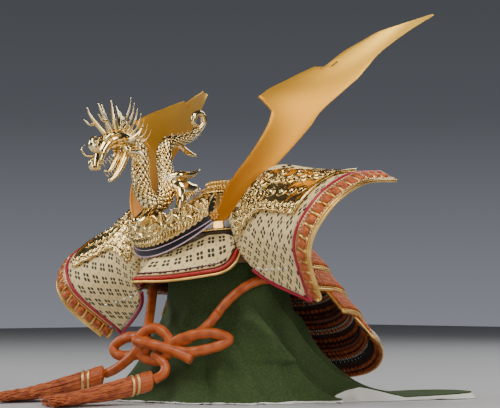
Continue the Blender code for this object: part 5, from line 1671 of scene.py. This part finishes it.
for table, count, flat in (
        (((0.36, 0.67, 0, 1.05), (0.29, 0.69, 0, 1.35), (0.21, 0.69, 0, 1.40), (0.14, 0.65, 0, 1.15),
          (0.09, 0.58, 0, 0.92), (0.06, 0.50, 0, 0.72), (0.04, 0.43, 0, 0.46)), 30, 1.15),
        (((0.33, 0.63, 0, 0.85), (0.285, 0.54, 0, 0.72), (0.235, 0.44, 0, 0.62), (0.18, 0.37, 0, 0.50),
          (0.14, 0.34, 0, 0.26)), 20, 1.25),
        (((0.26, 0.60, 0, 0.40), (0.20, 0.50, 0, 0.46), (0.15, 0.43, 0, 0.36), (0.10, 0.42, 0, 0.12)), 14,
         1.0),
        (((0.05, 0.58, 0, 0.42), (0.01, 0.62, 0, 0.50), (0.02, 0.68, 0, 0.34), (0.05, 0.70, 0, 0.12)), 12,
         1.5),
        (((0.05, 0.45, 0, 0.42), (0.00, 0.44, 0, 0.40), (-0.01, 0.49, 0, 0.30), (0.02, 0.52, 0, 0.12)), 12,
         1.2),
        (((0.50, 0.17, 0, 0.9), (0.46, 0.10, 0.01, 0.85), (0.40, 0.04, 0.02, 0.95),
          (0.33, 0.00, 0.02, 0.7)), 14, 1.2),
        (((0.62, 0.30, 0.03, 1.0), (0.70, 0.31, 0.08, 1.45), (0.79, 0.29, 0.10, 1.30),
          (0.86, 0.31, 0.10, 0.5)), 18, 0.6),
        (((0.63, 0.38, 0.04, 0.8), (0.70, 0.40, 0.10, 0.7), (0.80, 0.41, 0.11, 0.5),
          (0.90, 0.46, 0.10, 0.12)), 18, 1.0),
        (((0.70, 0.28, 0.10, 0.9), (0.68, 0.20, 0.13, 0.8), (0.67, 0.12, 0.12, 0.75),
          (0.70, 0.05, 0.11, 0.9)), 16, 0.9),
        (((0.52, 0.15, -0.02, 1.0), (0.60, 0.12, -0.06, 0.9), (0.66, 0.05, -0.08, 0.7)), 12, 1.0),
        (((0.98, 0.82, 0, 0.50), (1.04, 0.90, 0.02, 0.52), (1.01, 0.97, 0.03, 0.50),
          (0.94, 0.95, 0.04, 0.46), (0.93, 0.88, 0.03, 0.40), (0.98, 0.86, 0.02, 0.20)), 26, 1.0),
        (((0.79, 0.70, 0, 0.62), (0.85, 0.64, 0.01, 0.55), (0.90, 0.61, 0.02, 0.40),
          (0.95, 0.60, 0.02, 0.10)), 12, 0.6)):
    parts.append(limb(table, count, flat=flat)[0])
for side in (-1, 1):
    for table in (
            ((0.17, 0.73, 0.04, 0.40), (0.11, 0.82, 0.06, 0.34), (0.06, 0.90, 0.07, 0.22),
             (0.04, 0.96, 0.07, 0.06)),
            ((0.11, 0.82, 0.06, 0.28), (0.06, 0.82, 0.08, 0.20), (0.02, 0.86, 0.09, 0.06)),
            ((0.21, 0.74, 0.035, 0.46), (0.18, 0.86, 0.05, 0.36), (0.16, 1.00, 0.06, 0.06)),
            ((0.27, 0.66, 0.09, 0.50), (0.32, 0.70, 0.13, 0.44), (0.36, 0.77, 0.15, 0.08)),
            ((0.27, 0.58, 0.08, 0.40), (0.34, 0.56, 0.12, 0.34), (0.38, 0.50, 0.14, 0.08)),
            ((0.09, 0.66, 0.05, 0.34), (0.15, 0.71, 0.07, 0.42), (0.21, 0.70, 0.08, 0.16)),
            ((0.06, 0.55, 0.05, 0.22), (0.01, 0.56, 0.08, 0.17), (-0.01, 0.61, 0.10, 0.12),
             (0.02, 0.65, 0.10, 0.05))):
        parts.append(limb(table, 12, side)[0])
teeth, eyes = [], []
for n in range(6):
    t = n / 5
    for side in (-1, 1):
        upper = dragon_spot(0.125 + 0.10 * t, 0.50 + 0.09 * t, 0.040 * side)
        teeth.append((upper, Vector((0, 0.5, -1)), (1, 0, 0), (1, 1, 1.5 if n in (0, 3) else 0.9)))
        lower = dragon_spot(0.16 + 0.09 * t, 0.385 + 0.10 * t, 0.035 * side)
        teeth.append((lower, Vector((0, -0.8, 0.6)), (1, 0, 0), (1, 1, 1.4 if n == 0 else 0.8)))
for side in (-1, 1):
    eyes.append((dragon_spot(0.14, 0.665, 0.056 * side), Vector((side, -0.5, 0.2)), (0, 0, 1), (1, 1, 0.8)))
    eyes.append((dragon_spot(0.27, 0.60, 0.062 * side), Vector((side, 0, 0)), (0, 0, 1), (1.7, 1.7, 0.6)))
    eyes.append((dragon_spot(0.02, 0.62, 0.028 * side), Vector((side, -1, 0)), (0, 0, 1), (0.7, 0.7, 0.6)))
claws = []
for foot_at, ways in (((0.33, 0.00, 0.02), ((-1, -0.4), (-0.9, 0.2), (-0.6, -0.9))),
                      ((0.70, 0.04, 0.11), ((-0.6, -0.8), (0.2, -1.0), (0.8, -0.6))),
                      ((0.66, 0.05, -0.08), ((-0.5, -0.8), (0.3, -1.0), (0.8, -0.5)))):
    for k, (y, z) in enumerate(ways):
        claws.append((dragon_spot(*foot_at) + Vector((0.0022 * (k - 1), 0, 0)),
                      Vector((0.2 * (k - 1), y, z)), (1, 0, 0), (1.2, 1.2, 1.1)))
comb_rays = []
for n in range(9):
    t = n / 8
    here = dragon_spot(0.71 + 0.15 * t, 0.22 + 0.08 * t, 0.125)
    comb_rays.append((here, Vector((0.2, 0.35, -1)), (0, 1, 0), (0.8, 0.8, 1.2)))
parts += [repeated("scales", scales, scale_shape(), DRAGON_GOLD, DRAGON_SCALE * 1.35, DRAGON_SCALE * 1.05,
                   DRAGON_SCALE * 0.9),
          repeated("fins", fins, spine_shape(), DRAGON_GOLD, *DRAGON_FIN),
          repeated("teeth", teeth, spine_shape(), DRAGON_GOLD, *DRAGON_TOOTH),
          repeated("claws", claws, spine_shape(), DRAGON_GOLD, *DRAGON_CLAW),
          repeated("rays", comb_rays, spine_shape(), DRAGON_GOLD, *DRAGON_RAY),
          repeated("eyes", eyes, round_shape(), DRAGON_GOLD, *DRAGON_EYE)]
worn("cast_dragon", joined("dragon", parts), DRAGON_GOLD, ["dragon"])

# Neck guard: four curved iron lames hung one over the next on silk lacing. Their outside is
# close-laced in orange with gilt lower edges; inside, the knots of the lacing stand in rows.
LAME_HEIGHT = 0.0270
LAME_LAP = 0.004
LAME_STEP_ANGLE = radians(17)
LAME_BACK_STRETCH = 0.34
LACE_PITCH = 0.0056
LAME_COUNT = 4
LAME_COLUMNS = 120
LAME_SHEET = 0.0016
LAME_BRAID = (0.0062, 0.0040, 0.0034)
LAME_KNOT = (0.0020, 0.0019, 0.0018)
LAME_TICK = (0.0062, 0.0007, 0.0010)
LAME_DARK_CROSS = (0.0068, 0.0014, 0.0014)
LAME_PALE_CROSS = (0.0068, 0.0012, 0.0014)
LAME_DOT = (0.0009, 0.0009, 0.0011)
IRON = soft_leather("dark_lame_lacquer", "black_lacquer", (0.085, 0.014, 0.007), (0.030, 0.006, 0.004), 0.6)
IRON.set(**{"Coat Weight": 0.0})
BLACK_LACE = Finish("black_lacing", "orange_lacing", (0.02, 0.02, 0.025), 0.55)
BLACK_LACE.grain(2000, 1, 0.4, 0.0002)
SILVER_LACE = Finish("pale_lacing", "orange_lacing", (0.72, 0.66, 0.58), 0.5)
SILVER_LACE.grain(2000, 1, 0.4, 0.0002)


def lame_section(index, angle):
    """Top and bottom of a lame at an angle, each as radius and height."""
    back = max(0.0, -cos(angle)) ** 4.5
    slope = Vector((cos(LAME_SLOPE), -sin(LAME_SLOPE)))
    inwards = Vector((-sin(LAME_SLOPE), -cos(LAME_SLOPE)))
    length = LAME_HEIGHT * (1 + LAME_BACK_STRETCH * back)
    top = Vector((lame_ring(LAME_TOP_Z), LAME_TOP_Z)) + slope * (length - LAME_LAP) * index
    top = top + inwards * (LAME_WALL + GAP * 2) * index
    return top, top + slope * length


def lame_point(index, angle, share, out):
    """A point on a lame, out from its middle, with the directions out and down."""
    top, bottom = lame_section(index, angle)
    spot = top.lerp(bottom, share)
    down = on_circle(angle, bottom[0], bottom[1]) - on_circle(angle, top[0], top[1])
    outward = on_circle(angle, sin(LAME_SLOPE), cos(LAME_SLOPE))
    return on_circle(angle, spot[0], spot[1]) + outward * out, outward, down.normalized()


for index in range(LAME_COUNT):
    first = LAME_FRONT_ANGLE + LAME_STEP_ANGLE * index
    last = 2 * pi - first
    turns = [first + (last - first) * i / LAME_COLUMNS for i in range(LAME_COLUMNS + 1)]
    rows = [[lame_point(index, turn, k / 8, 0)[0] for turn in turns] for k in range(9)]
    number = index + 1
    worn(f"lacquered_lame_{number}", facing_out(walled(grid_mesh("lame", rows), LAME_SHEET)), IRON,
         [f"neck_lame_{number}"])
    reach = (lame_section(index, pi)[0][0] + lame_section(index, pi)[1][0]) / 2
    count = int((last - first) * reach / LACE_PITCH)
    braid, knots, ticks, crossings = [], [], [], []
    for n in range(count + 1):
        angle = first + (last - first) * (n + 0.5) / (count + 1)
        for k in range(5):
            here, out, down = lame_point(index, angle, 0.10 + 0.155 * k, 0.0013)
            slant = down + on_circle(angle + pi / 2, 0.55 * (-1) ** k, 0)
            braid.append((here, out, slant))
        for share in ((0.26, 0.44, 0.72, 0.92) if index < LAME_COUNT - 1 else (0.20, 0.34, 0.76, 0.92)):
            here, out, down = lame_point(index, angle, share, -0.0012)
            size = 1.0 if share < 0.85 else 1.15
            knots.append((here, -out, down, (size, size, size)))
        for half_step in (0.25, 0.75):
            turn = first + (last - first) * (n + half_step) / (count + 1)
            here, out, down = lame_point(index, turn, 0.44, -0.0011)
            ticks.append((here, -out, down))
        if index == LAME_COUNT - 1:
            for lean in (-1, 1):
                here, out, down = lame_point(index, angle, 0.50, -0.0016 - 0.0005 * (lean > 0))
                crossings.append((here, -out, down + on_circle(angle + pi / 2, 0.9 * lean, 0)))
                here, out, down = lame_point(index, angle, 0.78, 0.0021 + 0.0005 * (lean > 0))
                crossings.append((here, out, down + on_circle(angle + pi / 2, 0.9 * lean, 0)))
    parts = [repeated("braid", braid, bead_shape(), LACE_SILK, *LAME_BRAID),
             repeated("knots", knots, round_shape(), LACE_SILK, *LAME_KNOT)]
    worn(f"lame_lacing_{number}", joined("lacing", parts), LACE_SILK)
    worn(f"lame_pale_laces_{number}", repeated("ticks", ticks, bead_shape(), SILVER_LACE, *LAME_TICK),
         SILVER_LACE)
    if crossings:
        dark = repeated("dark", crossings[::2], bead_shape(), BLACK_LACE, *LAME_DARK_CROSS)
        worn("lame_black_cross_laces", dark, BLACK_LACE)
        pale = repeated("pale", crossings[1::2], bead_shape(), SILVER_LACE, *LAME_PALE_CROSS)
        worn("lame_pale_cross_laces", pale, SILVER_LACE)
    foot_line = [lame_point(index, a, 0.985, 0.0002)[0] for a in turns]
    inner_band = [lame_point(index, a, 0.10, -0.0008)[0] for a in turns]
    ends = [[lame_point(index, end, k / 12, 0.0)[0] for k in range(13)] for end in (first, last)]
    edges = [rod("edge", foot_line, 0.0013, 8)] + [rod("end", end, 0.0012, 8) for end in ends]
    dots = [(lame_point(index, first + (last - first) * n / (count * 2), 0.90, 0.0009)[0],
             on_circle(first + (last - first) * n / (count * 2), 0.8, 0.6), (0, 0, 1))
            for n in range(count * 2 + 1)]
    edges.append(repeated("dots", dots, button_shape(), GILT, *LAME_DOT))
    worn(f"lame_gilt_edges_{number}", joined("edges", edges), GILT)
    worn(f"lame_inner_band_{number}", rod("band", inner_band, 0.0012, 8), LACE_GROUND)
